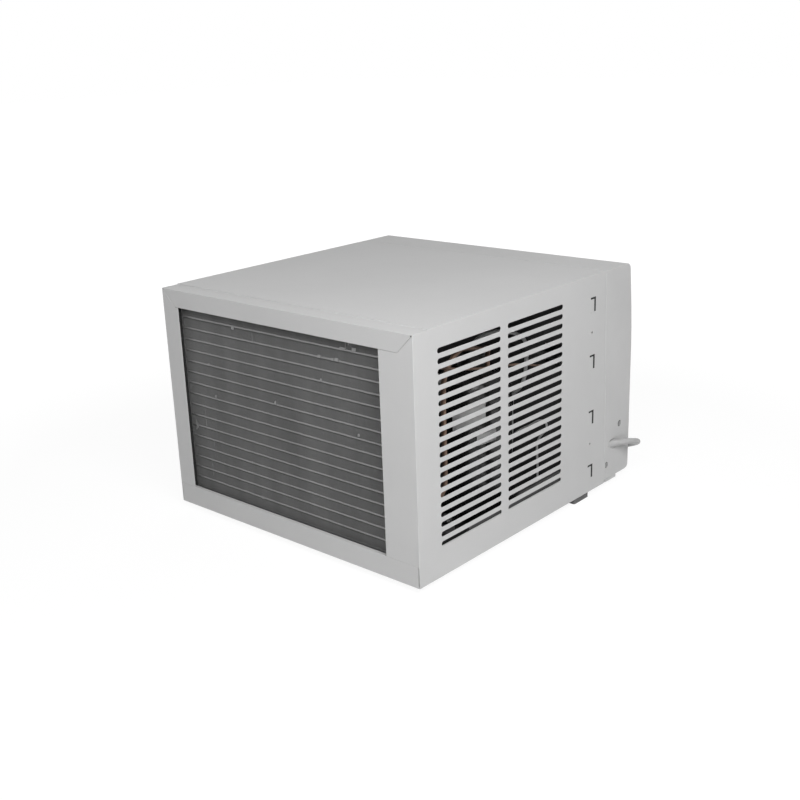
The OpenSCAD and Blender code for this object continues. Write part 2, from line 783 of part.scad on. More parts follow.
module suction_pipe() {
    color("dimgray")
    swept_tube([
        [accumulator_x, accumulator_p, accumulator_z[1]],
        [accumulator_x, accumulator_p, accumulator_z[1] + 8],
        [accumulator_x, accumulator_p, accumulator_z[1] + 18],
        [accumulator_x - 12, accumulator_p + 7, accumulator_z[1] + 36],
        [accumulator_x - 42, accumulator_p + 14, accumulator_z[1] + 35],
        [-half_w + 65, bulkhead_p - 29, pipe_z + 14],
        [-half_w + 40, bulkhead_p - 14, pipe_z + 3],
        [-half_w + 32, bulkhead_p, pipe_z],
        [-half_w + 26, bulkhead_p + 35, pipe_z + 1],
        [-half_w + 18, inlet_p - 20, evap_inlet_z - 3],
        [-half_w + 14, inlet_p + 4, evap_inlet_z],
        [-half_w + 15, evap_columns[0] - 7, evap_inlet_z],
        [-half_w + 19, evap_columns[0] - 1, evap_inlet_z],
        [evap_x[0] - stub - 2, evap_columns[0], evap_inlet_z],
        [evap_x[0] - stub, evap_columns[0], evap_inlet_z],
    ], 6, 3);
}

module capillary_tube() {
    color("peru")
    swept_tube([
        [cond_x[0] - stub, coil_columns[0], cond_inlet_z],
        [cond_x[0] - 24, coil_columns[0] + 1, cond_inlet_z],
        [-half_w + 12, coil_p1 - 16, cond_inlet_z - 6],
        [-half_w + 10, coil_p1 + 30, cond_inlet_z - 22],
        [-half_w + 10, coil_p1 + 110, cond_inlet_z - 42],
        [-half_w + 12, bulkhead_p - 125, pipe_z + 17],
        [-half_w + 16, bulkhead_p - 45, pipe_z - 5],
        [-half_w + 14, bulkhead_p, pipe_z - 9],
        [-half_w + 10, bulkhead_p + 45, pipe_z - 9],
        [-half_w + 10, inlet_p + 2, pipe_z - 9],
        [-half_w + 10, evap_columns[1] - 12, pipe_z - 8],
        [-half_w + 12, evap_columns[1] - 2, evap_inlet_z - 7],
        [-half_w + 18, evap_columns[1], evap_inlet_z - 1],
        [evap_x[0] - stub, evap_columns[1], evap_inlet_z],
    ], 2, 3, 8);
}

// -------------------------------------------------------------------- controls

box_x = [outlet_x[1] + seat_gap, vent_x - 9];
box_p = [bulkhead_p + 50, panel_p - 26.2];
knob_z = (outlet_z[0] + outlet_z[1]) / 2;

module control_box() {
    z = [outlet_z[0], body_h - 6];
    color("silver")
    difference() {
        block(box_x, box_p, z);
        block([box_x[0] + 1, box_x[1] - 1], [box_p[0] + 1, box_p[1] + 1], [z[0] + 1, z[1] - 1]);
    }
}

module run_capacitor() {
    x = (box_x[0] + box_x[1]) / 2;
    color("lightgray")
    facing(box_p[0] + 1, x, outlet_z[0] + 23) {
        cylinder(r = 22, h = 70);
        translate([0, 0, 70]) cylinder(r = 19, h = 2);
        for (dx = [-9, 9])
            translate([dx, 0, 72]) translate([-3, -0.5, 0]) cube([6, 1, 9]);
    }
}

module rotary_switch(x, round) {
    color(round ? "silver" : "saddlebrown")
    difference() {
        block([x - 16, x + 16], [panel_p - 25, panel_p], [knob_z - 17, knob_z + 17]);
        facing(panel_p - 19, x, knob_z) cylinder(d = 6 + 2 * pin_gap, h = 20, $fn = 32);
    }
}

module mode_switch() {
    rotary_switch(knob_x[0], false);
}

module thermostat() {
    rotary_switch(knob_x[1], true);
}

module control_panel() {
    x = [panel_x[0] + 0.4, panel_x[1] - 0.4];
    z = [outlet_z[0] + 0.4, outlet_z[1] - 0.4];
    color("whitesmoke")
    difference() {
        block(x, [panel_p, outlet_p], z);
        block([x[0] + 2, x[1] - 2], [panel_p + 3, outlet_p + 1], [z[0] + 2, z[1] - 2]);
        for (kx = knob_x)
            facing(panel_p - 1, kx, knob_z) cylinder(d = 7, h = 6, $fn = 32);
        facing(panel_p - 1, vent_x, vent_z[0] + 16)
            cylinder(d = 5 + 2 * pin_gap, h = 6, $fn = 32);
    }
}

module knob(x) {
    depth = 10;
    color("white")
    facing(panel_p + 3.3, x, knob_z) {
        difference() {
            union() {
                cylinder(d = knob_d, h = 3);
                translate([0, 0, 3]) cylinder(d1 = knob_d - 4, d2 = knob_d - 8, h = depth - 3);
            }
            // Pointer groove
            translate([-0.8, knob_d / 2 - 12, depth - 1]) cube([1.6, 14, 2]);
        }
        translate([0, 0, -20]) cylinder(d = 6, h = 21, $fn = 32);
    }
}

module mode_knob() {
    knob(knob_x[0]);
}

module temperature_knob() {
    knob(knob_x[1]);
}

vent_rod_z = vent_z[0] + 16;
vent_door_p = bulkhead_p + sheet_t + 2.2;
ball_r = 4.5;
module vent_rod() {
    ball_p = vent_door_p - 3.75;
    color("white") {
        facing(ball_p, vent_x, vent_rod_z) cylinder(d = 5, h = panel_p + 6 - ball_p, $fn = 32);
        facing(ball_p, vent_x, vent_rod_z) sphere(r = ball_r, $fn = 48);
        facing(panel_p + 3.4, vent_x, vent_rod_z) {
            cylinder(d = 12, h = 3);
            translate([0, 0, 3]) cylinder(d1 = 8, d2 = 12, h = 6);
        }
    }
}

module vent_door() {
    p = [vent_door_p, vent_door_p + 1.6];
    door_slot = 3.4;
    rod_hole_r = 3;
    color("gray")
    difference() {
        union() {
            block(vent_door_x, p, [vent_z[0], vent_pin_z]);
            translate([vent_door_x[0] - 3.6, from_rear(vent_pin_p), foot_h + vent_pin_z])
                rotate([0, 90, 0]) cylinder(d = 3, h = vent_door_x[1] - vent_door_x[0] + 7.2, $fn = 32);
        }
        // Slot for the rod, narrower than the ball behind it
        facing(p[0] - 2) {
            for (z = [vent_rod_z, vent_rod_z - door_slot])
                translate([vent_x, z, 0]) cylinder(r = rod_hole_r, h = 6, $fn = 32);
            translate([vent_x - rod_hole_r, vent_rod_z - door_slot, 0])
                cube([2 * rod_hole_r, door_slot, 6]);
        }
    }
}

// ------------------------------------------------------------------ front bezel

function bezel_side(inset, rear) =
    let (r = 12, low_r = 14, z1 = body_h - r, low = bezel_z0 + low_r)
    concat(
        [[rear ? seam_p(0) - 20 : seam_p(bezel_z0), bezel_z0 + inset]],
        arc(unit_d - low_r - 4, low, low_r - inset, -90, -20, 5),
        [for (i = [0:10]) let (z = low + 14 + (z1 - low - 14) * i / 10) [front_p(z) - inset, z]],
        arc(front_p(z1) - r, z1, r - inset, 10, 90, 6),
        [[rear ? seam_top_p - 20 : seam_p(body_h), body_h - inset]]);

function bezel_plan(inset) =
    let (r = 10, w = half_w - r, p = unit_d - r)
    concat([[-half_w + inset, unit_d - 130]], [[half_w - inset, unit_d - 130]],
        arc(w, p, r - inset, 0, 90, 6), arc(-w, p, r - inset, 90, 180, 6));

module bezel_form(inset, rear) {
    intersection() {
        sideways(-half_w + inset) linear_extrude(body_w - 2 * inset) polygon(bezel_side(inset, rear));
        translate([0, from_rear(0), foot_h]) mirror([0, 1, 0])
            linear_extrude(body_h) polygon(bezel_plan(inset));
    }
}

cord_hole = [unit_d - 60, 67.5];
screw_spots = [[unit_d - 39.5, 100.7], [unit_d - 81, 32.5]];
module front_bezel() {
    through = [unit_d - 60, unit_d + 5];
    color("white")
    difference() {
        bezel_form(0, false);
        bezel_form(wall_t, true);
        // The pan's front edge passes under the bezel
        block([-half_w + wall_t, half_w - wall_t], [seam_top_p - 5, pan_d + seam_gap], [0, 16]);
        block([outlet_x[0], outlet_x[1]], through, outlet_z);
        block([panel_x[0], panel_x[1]], through, outlet_z);
        block([outlet_x[0], half_w - 18], through, intake_z);
        // Slot that the filter slides out of
        block([half_w - 10, half_w + 5], [filter_p - 1, filter_p + 7], [37.5, intake_z[1] - 3]);
        // Cord hole in the left wall
        for (dp = [-7, 7])
            sideways(-half_w - 1) linear_extrude(10) translate(cord_hole + [dp, 0]) circle(d = 19);
        sideways(-half_w - 1) linear_extrude(10) translate(cord_hole - [7, 9.5]) square([14, 19]);
        both_sides()
            for (s = screw_spots)
                sideways(-half_w - 1) translate([s[0], s[1], 0]) {
                    cylinder(d = 12, h = 2.2);
                    cylinder(d = 3.8, h = 10);
                }
    }
}

module bezel_screws() {
    color("silver")
    both_sides()
        for (s = screw_spots)
            sideways(-half_w) translate([s[0], s[1], 0]) {
                difference() {
                    cylinder(d = 8, h = 1.2);
                    translate([-2.6, -0.5, -1]) cube([5.2, 1, 1.6]);
                    translate([-0.5, -2.6, -1]) cube([1, 5.2, 1.6]);
                }
                translate([0, 0, 1]) cylinder(d = 3.6, h = 10);
            }
}

module intake_grille() {
    x = [outlet_x[0] + 0.4, half_w - 18.4];
    z = [intake_z[0] + 0.4, intake_z[1] - 0.4];
    rim = 9;
    columns = 4;
    pitch = (z[1] - z[0] - 2 * rim) / grille_rows;
    width = (x[1] - x[0] - rim) / columns;
    color("white")
    difference() {
        sideways(x[0]) linear_extrude(x[1] - x[0])
            polygon(concat(
                [for (i = [0:8]) let (h = z[0] + (z[1] - z[0]) * i / 8) [front_p(h) - 0.3, h]],
                [for (i = [8:-1:0]) let (h = z[0] + (z[1] - z[0]) * i / 8) [front_p(h) - 6, h]]));
        for (i = [0:grille_rows - 1], k = [0:columns - 1])
            block([x[0] + rim + k * width, x[0] + (k + 1) * width], [unit_d - 30, unit_d + 2],
                [z[0] + rim + i * pitch + 2.4, z[0] + rim + (i + 1) * pitch - 2.4]);
    }
}

filter_z = [38.3, intake_z[1] - 4];
filter_x = [-half_w + 26, half_w - 0.2];
module filter_rails() {
    inner = half_w - wall_t;
    color("whitesmoke")
    difference() {
        union() {
            block([-inner, inner], [filter_p - 4, filter_p + 10], [34, 41]);
            block([-inner, inner], [filter_p - 4, filter_p + 10], [filter_z[1] - 3, filter_z[1] + 4]);
        }
        block([-inner + 10, inner + 1], [filter_p - 0.6, filter_p + 6.6], [38, filter_z[1] + 1]);
    }
}

module air_filter() {
    bar = 7;
    cells = 5;
    cell_w = (filter_x[1] - filter_x[0] - bar) / cells;
    color("steelblue") {
        difference() {
            block(filter_x, [filter_p, filter_p + 6], filter_z);
            for (i = [0:cells - 1], z = [0, 1])
                block([filter_x[0] + bar + i * cell_w, filter_x[0] + (i + 1) * cell_w],
                    [filter_p - 1, filter_p + 8],
                    [filter_z[0] + bar + z * (filter_z[1] - filter_z[0] - bar) / 2,
                     filter_z[0] + (z + 1) * (filter_z[1] - filter_z[0] - bar) / 2]);
        }
        // Filter cloth
        block([filter_x[0] + 2, filter_x[1] - 2], [filter_p + 2.6, filter_p + 3.4],
            [filter_z[0] + 2, filter_z[1] - 2]);
    }
}

// ---------------------------------------------------------- air outlet and vanes

frame_x = [outlet_x[0] + 0.4, outlet_x[1] - 0.4];
frame_z = [outlet_z[0] + 0.4, outlet_z[1] - 0.4];
frame_t = 2.2;
level_vanes = 3;
upright_vanes = 7;
vane_t = 2;
vane_pin_d = 3.6;
level_pitch = (frame_z[1] - frame_z[0] - 2 * frame_t) / level_vanes;
upright_pitch = (frame_x[1] - frame_x[0] - 2 * frame_t) / upright_vanes;
level_chord = 19;
upright_chord = 24;
// A pin across a notch in each vane runs in an open slot of the link
level_crank = 7.5;
upright_crank = 9.5;
level_swing = 25;
upright_swing = 30;
link_pin_d = 2.4;
link_play = 0.15;
link_t = 2.4;
notch_w = link_t + 1.2;
prong_w = 3.3;
function prong_end(crank, swing) = crank * cos(swing) - link_pin_d / 2 - 0.3;
function notch_end(crank, swing) = prong_end(crank, swing) - 0.8;
function level_z(i) = frame_z[0] + frame_t + level_pitch * (i - 0.5);
function upright_x(i) = frame_x[0] + frame_t + upright_pitch * (i - 0.5);

module discharge_frame() {
    color("whitesmoke")
    difference() {
        block(frame_x, [frame_p0, outlet_p], frame_z);
        block([frame_x[0] + frame_t, frame_x[1] - frame_t], [frame_p0 - 1, outlet_p + 1],
            [frame_z[0] + frame_t, frame_z[1] - frame_t]);
        for (i = [1:level_vanes])
            translate([frame_x[0] - 1, from_rear(level_axis_p), foot_h + level_z(i)])
                rotate([0, 90, 0])
                    cylinder(d = vane_pin_d + 2 * pin_gap, h = frame_x[1] - frame_x[0] + 2, $fn = 32);
        for (i = [1:upright_vanes])
            translate([upright_x(i), from_rear(upright_axis_p), foot_h + frame_z[0] - 1])
                cylinder(d = vane_pin_d + 2 * pin_gap, h = frame_z[1] - frame_z[0] + 2, $fn = 32);
    }
}

level_notch_x = frame_x[1] - frame_t - 12;
upright_notch_z = frame_z[0] + frame_t + 6;

module level_vane(i) {
    x = [frame_x[0] + frame_t + 0.5, frame_x[1] - frame_t - 0.5];
    notch = notch_end(level_crank, level_swing);
    color("white")
    translate([0, from_rear(level_axis_p), foot_h + level_z(i)]) {
        translate([x[0] - 2.4, 0, 0]) rotate([0, 90, 0])
            cylinder(d = vane_pin_d, h = x[1] - x[0] + 4.8, $fn = 32);
        difference() {
            translate([x[0], -level_chord / 2, -vane_t / 2]) cube([x[1] - x[0], level_chord, vane_t]);
            translate([level_notch_x - notch_w / 2, notch, -vane_t])
                cube([notch_w, level_chord, 2 * vane_t]);
        }
        translate([level_notch_x - notch_w / 2 - 1, level_crank, 0]) rotate([0, 90, 0])
            cylinder(d = link_pin_d, h = notch_w + 2, $fn = 32);
    }
}

module upright_vane(i) {
    z = [frame_z[0] + frame_t + 0.5, frame_z[1] - frame_t - 0.5];
    notch = notch_end(upright_crank, upright_swing);
    color("white")
    translate([upright_x(i), from_rear(upright_axis_p), foot_h]) {
        translate([0, 0, z[0] - 2.4]) cylinder(d = vane_pin_d, h = z[1] - z[0] + 4.8, $fn = 32);
        difference() {
            translate([-vane_t / 2, -upright_chord / 2, z[0]])
                cube([vane_t, upright_chord, z[1] - z[0]]);
            translate([-vane_t, notch, upright_notch_z - notch_w / 2])
                cube([2 * vane_t, upright_chord, notch_w]);
        }
        translate([0, upright_crank, upright_notch_z - notch_w / 2 - 1])
            cylinder(d = link_pin_d, h = notch_w + 2, $fn = 32);
    }
}

// Local X is the distance behind the axes of the vanes, which lie at these places along Y
module link_outline(crank, swing, places) {
    start = prong_end(crank, swing);
    slot_w = link_pin_d + 2 * link_play;
    last = places[len(places) - 1];
    difference() {
        translate([start, places[0] - prong_w - slot_w / 2])
            square([crank + slot_w / 2 + prong_w - start, last - places[0] + 2 * prong_w + slot_w]);
        for (q = places) {
            translate([crank, q]) circle(d = slot_w, $fn = 32);
            translate([start - 1, q - slot_w / 2]) square([crank - start + 1, slot_w]);
        }
    }
}

module level_vane_link() {
    color("gray")
    sideways(level_notch_x - link_t / 2) linear_extrude(link_t)
        translate([level_axis_p, 0]) mirror([1, 0])
            link_outline(level_crank, level_swing, [for (i = [1:level_vanes]) level_z(i)]);
}

module upright_vane_link() {
    color("gray")
    translate([0, from_rear(upright_axis_p), foot_h + upright_notch_z - link_t / 2])
        linear_extrude(link_t) mirror([1, -1])
            link_outline(upright_crank, upright_swing, [for (i = [1:upright_vanes]) upright_x(i)]);
}

// ------------------------------------------------------------------ power cord

// Route of the free cord: across, from the rear, above the base pan
cord_route = [
    [-283, 549, 68], [-290, 561, 68.5], [-295.5, 573.5, 67], [-298, 587, 63.5], [-296, 601, 58.5],
    [-289, 613.5, 52], [-278, 623, 45], [-263.5, 630, 37.5], [-247, 635, 30], [-229.5, 638.5, 22.5],
    [-211, 641, 15], [-192, 643, 7.5], [-172.5, 645, 1.2], [-153, 646.5, -2.8], [-132, 647.5, -4.4],
    [-94, 648, -4.5],
];
cord_tail = [
    [-30, 648.5, 4], [-17, 650, 1], [-4, 652, -2.5], [10, 653, -4.5], [24, 654.2, -3.8],
    [38, 655.5, -0.5], [50, 656, 2.8], [59, 656, 4], [66, 656, 4],
];
coil_middle = [-60, 714];
coil_r = 60.5;
relief_start = [-268, 529];
relief_end = [-283, 549];

module strain_relief() {
    across = relief_start - relief_end;
    color("gray") {
        block([-half_w + wall_t, -half_w + 18], [523, 536], [54, 82]);
        translate([relief_start[0], from_rear(relief_start[1]), foot_h + cord_route[0][2]])
            rotate([0, -90, atan2(-across[1], across[0])])
                cylinder(r1 = 8.5, r2 = cord_d / 2 + 1, h = norm(across));
    }
}

module cord_lead() {
    color("lightgray") swept_tube(cord_route, cord_d / 2, 2);
}

module cord_coil() {
    color("lightgray")
    translate([coil_middle[0], from_rear(coil_middle[1]), 0])
        rotate_extrude($fn = 96)
            translate([coil_r - cord_d, 0]) square([2 * cord_d, 2 * cord_d]);
}

module cord_end() {
    color("lightgray") swept_tube(cord_tail, cord_d / 2, 2);
}

plug_size = [58, 34, 28];
module plug() {
    entry = cord_tail[len(cord_tail) - 1];
    neck = 26;
    translate([entry[0], from_rear(entry[1]), foot_h + entry[2]]) rotate([0, 90, 0]) {
        color("lightgray") {
            cylinder(r1 = cord_d / 2 + 0.8, r2 = 9, h = neck);
            hull() {
                translate([0, 0, neck]) cylinder(r = 9, h = 1, $fn = 32);
                for (a = [-1, 1], b = [-1, 1])
                    translate([a * (plug_size[2] / 2 - 5), b * (plug_size[1] / 2 - 5), neck + 16])
                        cylinder(r = 5, h = plug_size[0] - 16, $fn = 32);
            }
        }
        color("silver") {
            for (b = [-1, 1])
                translate([-3 + 1.5, b * 6.35 - 0.8, neck + plug_size[0]]) cube([6.4, 1.6, 17]);
            translate([-9, 0, neck + plug_size[0]]) cylinder(d = 4.8, h = 19, $fn = 32);
        }
    }
}

base_pan();
rubber_feet();
cabinet_wrapper();
condenser_fins();
condenser_tubes();
condenser_end_plates();
fan_shroud();
condenser_fan();
motor_shaft();
blower_wheel();
fan_motor();
motor_bracket();
bulkhead();
scroll_housing();
blower_inlet_plate();
discharge_duct();
evaporator_fins();
evaporator_tubes();
evaporator_end_plates();
drain_tray();
compressor();
compressor_grommets();
compressor_bolts();
terminal_cover();
suction_accumulator();
discharge_pipe();
suction_pipe();
capillary_tube();
control_box();
run_capacitor();
mode_switch();
thermostat();
control_panel();
mode_knob();
temperature_knob();
vent_rod();
vent_door();
front_bezel();
bezel_screws();
intake_grille();
filter_rails();
air_filter();
discharge_frame();
level_vane(1);  // level_vane_1
level_vane(2);  // level_vane_2
level_vane(3);  // level_vane_3
level_vane_link();
upright_vane(1);  // upright_vane_1
upright_vane(2);  // upright_vane_2
upright_vane(3);  // upright_vane_3
upright_vane(4);  // upright_vane_4
upright_vane(5);  // upright_vane_5
upright_vane(6);  // upright_vane_6
upright_vane(7);  // upright_vane_7
upright_vane_link();
strain_relief();
cord_lead();
cord_coil();
cord_end();
plug();
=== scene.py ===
import json
import math
import random

import bmesh
import bpy
from mathutils import Matrix, Vector


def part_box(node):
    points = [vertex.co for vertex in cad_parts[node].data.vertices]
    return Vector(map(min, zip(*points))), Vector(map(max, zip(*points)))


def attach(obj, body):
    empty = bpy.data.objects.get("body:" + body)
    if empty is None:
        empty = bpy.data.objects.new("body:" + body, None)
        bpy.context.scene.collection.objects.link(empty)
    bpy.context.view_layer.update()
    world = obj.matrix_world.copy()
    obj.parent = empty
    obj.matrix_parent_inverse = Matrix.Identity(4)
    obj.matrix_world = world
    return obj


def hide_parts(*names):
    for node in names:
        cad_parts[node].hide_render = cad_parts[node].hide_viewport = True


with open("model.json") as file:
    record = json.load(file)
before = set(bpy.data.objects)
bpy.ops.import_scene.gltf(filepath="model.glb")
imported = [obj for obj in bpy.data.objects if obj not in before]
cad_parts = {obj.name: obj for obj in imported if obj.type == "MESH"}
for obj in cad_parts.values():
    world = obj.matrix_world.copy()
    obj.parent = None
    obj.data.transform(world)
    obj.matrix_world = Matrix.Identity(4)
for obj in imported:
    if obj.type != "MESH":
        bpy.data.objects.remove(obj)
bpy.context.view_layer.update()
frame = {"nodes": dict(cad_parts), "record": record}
nodes = frame["nodes"]
random.seed(7)

# Sizes of the unit in millimetres, as the solids have them
DEPTH = 604.0
FOOT = 10.0
HALF_W = 280.0
BODY_H = 392.0
SHEET = 1.2
SLOT_ZS = [53.5 + 15.9 * i for i in range(20)]
SIDE_HOLE_ZS = (292.5, 91.0)
HOOK_P, HOOK_ZS = 465.0, [353.5 - 100.8 * i for i in range(4)]
HOOK_H, HOOK_SLIT, HOOK_HOLE = 25.0, 3.2, 26.5
DRAIN_P = 30.0
BEZEL_SCREWS = [(564.5, 100.7), (523.0, 32.5)]
CORD_HOLE_PS, CORD_HOLE_Z, CORD_HOLE_R = (537.0, 551.0), 67.5, 9.6
FILTER_MIDDLE_Z = 160.0
PANEL_P, KNOB_Z, KNOB_XS = 577.0, 338.0, (174.0, 216.0)
GRILLE_Z, GRILLE_ROWS, GRILLE_RIM = (32.4, 289.6), 19, 9.0


def at(x, p, z):
    """Across, from the rear frame and above the base pan, in millimetres, to a point in metres."""
    return Vector((x / 1000, (DEPTH / 2 - p) / 1000, (z + FOOT) / 1000))


# ------------------------------------------------------------------ camera

YAW, PITCH, ROLL = math.radians(137.84), math.radians(18.30), math.radians(2.14)
EYE = Vector((-1.2638, 1.4302, 0.7983))
SENSOR_WIDTH, LENS = 36.0, 50.472
SHIFT = (0.007, 0.004)


def make_camera():
    ahead = Vector((math.sin(YAW) * math.cos(PITCH), math.cos(YAW) * math.cos(PITCH), -math.sin(PITCH)))
    level = Vector((math.cos(YAW), -math.sin(YAW), 0))
    down = ahead.cross(level)
    right = math.cos(ROLL) * level + math.sin(ROLL) * down
    up = math.sin(ROLL) * level - math.cos(ROLL) * down
    data = bpy.data.cameras.new("camera")
    data.sensor_width, data.lens = SENSOR_WIDTH, LENS
    data.shift_x, data.shift_y = SHIFT
    data.clip_start, data.clip_end = 0.05, 50
    camera = bpy.data.objects.new("camera", data)
    bpy.context.scene.collection.objects.link(camera)
    turn = Matrix((right, up, -ahead)).transposed()
    camera.matrix_world = Matrix.Translation(EYE) @ turn.to_4x4()
    bpy.context.scene.camera = camera


make_camera()
bpy.context.scene.view_settings.view_transform = "Standard"

# -------------------------------------------------------------------- cord

CORD_D = 11.0
LEAD = [
    (-283, 549, 68), (-290, 561, 68.5), (-295.5, 573.5, 67), (-298, 587, 63.5), (-296, 601, 58.5),
    (-289, 613.5, 52), (-278, 623, 45), (-263.5, 630, 37.5), (-247, 635, 30), (-229.5, 638.5, 22.5),
    (-211, 641, 15), (-192, 643, 7.5), (-172.5, 645, 1.2), (-153, 646.5, -2.8), (-132, 647.5, -4.4),
    (-108, 648, -4.5),
]
TAIL = [
    (-30, 648.5, 4.5), (-17, 650, 1), (-4, 652, -2.5), (10, 653, -4.5), (24, 654.2, -3.8),
    (38, 655.5, -0.5), (50, 656, 2.8), (59, 656, 4), (66, 656, 4),
]
COIL_X, COIL_P = -60.0, 714.0
INNER_R, OUTER_R = 55.0, 66.0
TURNS = 4
PER_TURN = 24


def eased(t):
    return t * t * (3 - 2 * t)


def coil_points():
    """Four turns, two beside each other and two on top, clockwise from the side nearest the unit."""
    low, high = CORD_D / 2 - FOOT, 1.5 * CORD_D - FOOT
    radii = [OUTER_R, INNER_R, INNER_R, OUTER_R, OUTER_R]
    heights = [low, low, high, high, high]
    points = []
    for i in range(1, TURNS * PER_TURN):
        turn, part = divmod(i / PER_TURN, 1)
        turn = int(turn)
        t = eased(max(0.0, (part - 0.75) / 0.25))
        r = radii[turn] + (radii[turn + 1] - radii[turn]) * t
        z = heights[turn] + (heights[turn + 1] - heights[turn]) * t
        a = 2 * math.pi * part
        points.append((COIL_X + r * math.sin(a), COIL_P - r * math.cos(a), z))
    return points


def tube_curve(name, route, diameter, resolution=4):
    """A round tube along a smooth curve through the points. Each point's radius is the tube's own."""
    curve = bpy.data.curves.new(name, "CURVE")
    curve.dimensions = "3D"
    curve.bevel_depth = 1.0
    curve.bevel_resolution = resolution
    curve.resolution_u = 6
    curve.use_fill_caps = True
    spline = curve.splines.new("BEZIER")
    spline.bezier_points.add(len(route) - 1)
    for point, place in zip(spline.bezier_points, route):
        point.co = place
        point.radius = diameter / 2000
        point.handle_left_type = point.handle_right_type = "AUTO"
    piece = bpy.data.objects.new(name, curve)
    bpy.context.scene.collection.objects.link(piece)
    return piece


def make_cord():
    route = [at(*q) for q in LEAD + coil_points() + TAIL]
    cord = tube_curve("power_cord", route, CORD_D, 5)
    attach(cord, "chassis")
    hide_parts("cord_lead", "cord_coil", "cord_end")
    return cord


cord = make_cord()

# --------------------------------------------------------------- materials


def plain_nodes(owner):
    owner.use_nodes = True
    tree = owner.node_tree
    tree.nodes.clear()
    return tree


def link(tree, a, out, b, into):
    tree.links.new(a.outputs[out], b.inputs[into])


def ranged(tree, source, out, low, high, lo_in=0.3, hi_in=0.7):
    """Maps a pattern's output to a range of numbers."""
    node = tree.nodes.new("ShaderNodeMapRange")
    node.inputs["From Min"].default_value = lo_in
    node.inputs["From Max"].default_value = hi_in
    node.inputs["To Min"].default_value = low
    node.inputs["To Max"].default_value = high
    link(tree, source, out, node, "Value")
    return node


def noise(tree, place, scale, detail=3.0, rough=0.5, stretch=None):
    """Noise in the piece's own coordinates. The scale is in waves to the metre."""
    if stretch:
        squeeze = tree.nodes.new("ShaderNodeMapping")
        squeeze.inputs["Scale"].default_value = stretch
        link(tree, place, "Object", squeeze, "Vector")
        place, out = squeeze, "Vector"
    else:
        out = "Object"
    node = tree.nodes.new("ShaderNodeTexNoise")
    node.inputs["Scale"].default_value = scale
    node.inputs["Detail"].default_value = detail
    node.inputs["Roughness"].default_value = rough
    link(tree, place, out, node, "Vector")
    return node


def cells(tree, place, scale):
    node = tree.nodes.new("ShaderNodeTexVoronoi")
    node.inputs["Scale"].default_value = scale
    link(tree, place, "Object", node, "Vector")
    return node


def blend_colour(tree, factor, out, dark, light):
    node = tree.nodes.new("ShaderNodeMix")
    node.data_type = "RGBA"
    node.inputs[6].default_value = (*dark, 1)
    node.inputs[7].default_value = (*light, 1)
    link(tree, factor, out, node, 0)
    return node


def weave(tree, place, scale):
    """Two sets of bands across each other, as threads in a net."""
    most = tree.nodes.new("ShaderNodeMath")
    most.operation = "MAXIMUM"
    for i, axis in enumerate("XZ"):
        wave = tree.nodes.new("ShaderNodeTexWave")
        wave.bands_direction = axis
        wave.inputs["Scale"].default_value = scale
        link(tree, place, "Object", wave, "Vector")
        link(tree, wave, "Fac", most, i)
    return most


def pattern_maps(tree, place, pattern, scale, share):
    """A named pattern's shade of the colour and its height, which spangle doesn't have."""
    if pattern == "weave":
        figure = weave(tree, place, scale)
        return (ranged(tree, figure, "Value", 1 - share, 1 + share * 0.3, 0.2, 0.9),
                ranged(tree, figure, "Value", 0.0, 1.0, 0.1, 0.9))
    figure = cells(tree, place, scale)
    if pattern == "beads":
        return (ranged(tree, figure, "Distance", 1.0, 1 - share, 0.2, 0.7),
                ranged(tree, figure, "Distance", 1.0, 0.0, 0.0, 0.8))
    return ranged(tree, figure, "Color", 1 - share, 1 + share, 0, 1), None


def grey(value):
    return (value, value, value) if isinstance(value, (int, float)) else value


def finish(name, dark, light, rough, metal=0.0, patch=5.0, patch_detail=4.0, stretch=None,
           grain=500.0, grain_stretch=None, relief=0.15, depth=0.0002, spread=0.06, coat=0.0,
           specular=0.5, pattern=None, pattern_scale=100.0, pattern_share=0.3, pattern_depth=0.0004):
    """A surface with slow patches of tone, fine grain in gloss and relief, and maybe a pattern."""
    dark, light = grey(dark), grey(light)
    material = bpy.data.materials.new(name)
    tree = plain_nodes(material)
    out = tree.nodes.new("ShaderNodeOutputMaterial")
    shader = tree.nodes.new("ShaderNodeBsdfPrincipled")
    link(tree, shader, "BSDF", out, "Surface")
    shader.inputs["Metallic"].default_value = metal
    shader.inputs["Specular IOR Level"].default_value = specular
    shader.inputs["Coat Weight"].default_value = coat
    shader.inputs["Coat Roughness"].default_value = 0.12
    place = tree.nodes.new("ShaderNodeTexCoord")

    slow = noise(tree, place, patch, patch_detail, 0.6, stretch)
    tone = ranged(tree, slow, "Fac", 0, 1)
    colour = blend_colour(tree, tone, "Result", dark, light)
    fine = noise(tree, place, grain, 2.0, 0.55, grain_stretch)
    gloss = ranged(tree, fine, "Fac", max(rough - spread, 0.03), min(rough + spread, 1.0))
    bump = tree.nodes.new("ShaderNodeBump")
    bump.inputs["Strength"].default_value = relief
    bump.inputs["Distance"].default_value = depth
    link(tree, fine, "Fac", bump, "Height")
    last = bump

    if pattern:
        shade, height = pattern_maps(tree, place, pattern, pattern_scale, pattern_share)
        tint = tree.nodes.new("ShaderNodeMix")
        tint.data_type = "RGBA"
        tint.blend_type = "MULTIPLY"
        tint.inputs[0].default_value = 1.0
        link(tree, colour, 2, tint, 6)
        link(tree, shade, "Result", tint, 7)
        colour = tint
        if height:
            second = tree.nodes.new("ShaderNodeBump")
            second.inputs["Strength"].default_value = 0.6
            second.inputs["Distance"].default_value = pattern_depth
            link(tree, height, "Result", second, "Height")
            link(tree, bump, "Normal", second, "Normal")
            last = second

    link(tree, colour, 2, shader, "Base Color")
    link(tree, gloss, "Result", shader, "Roughness")
    link(tree, last, "Normal", shader, "Normal")
    return material


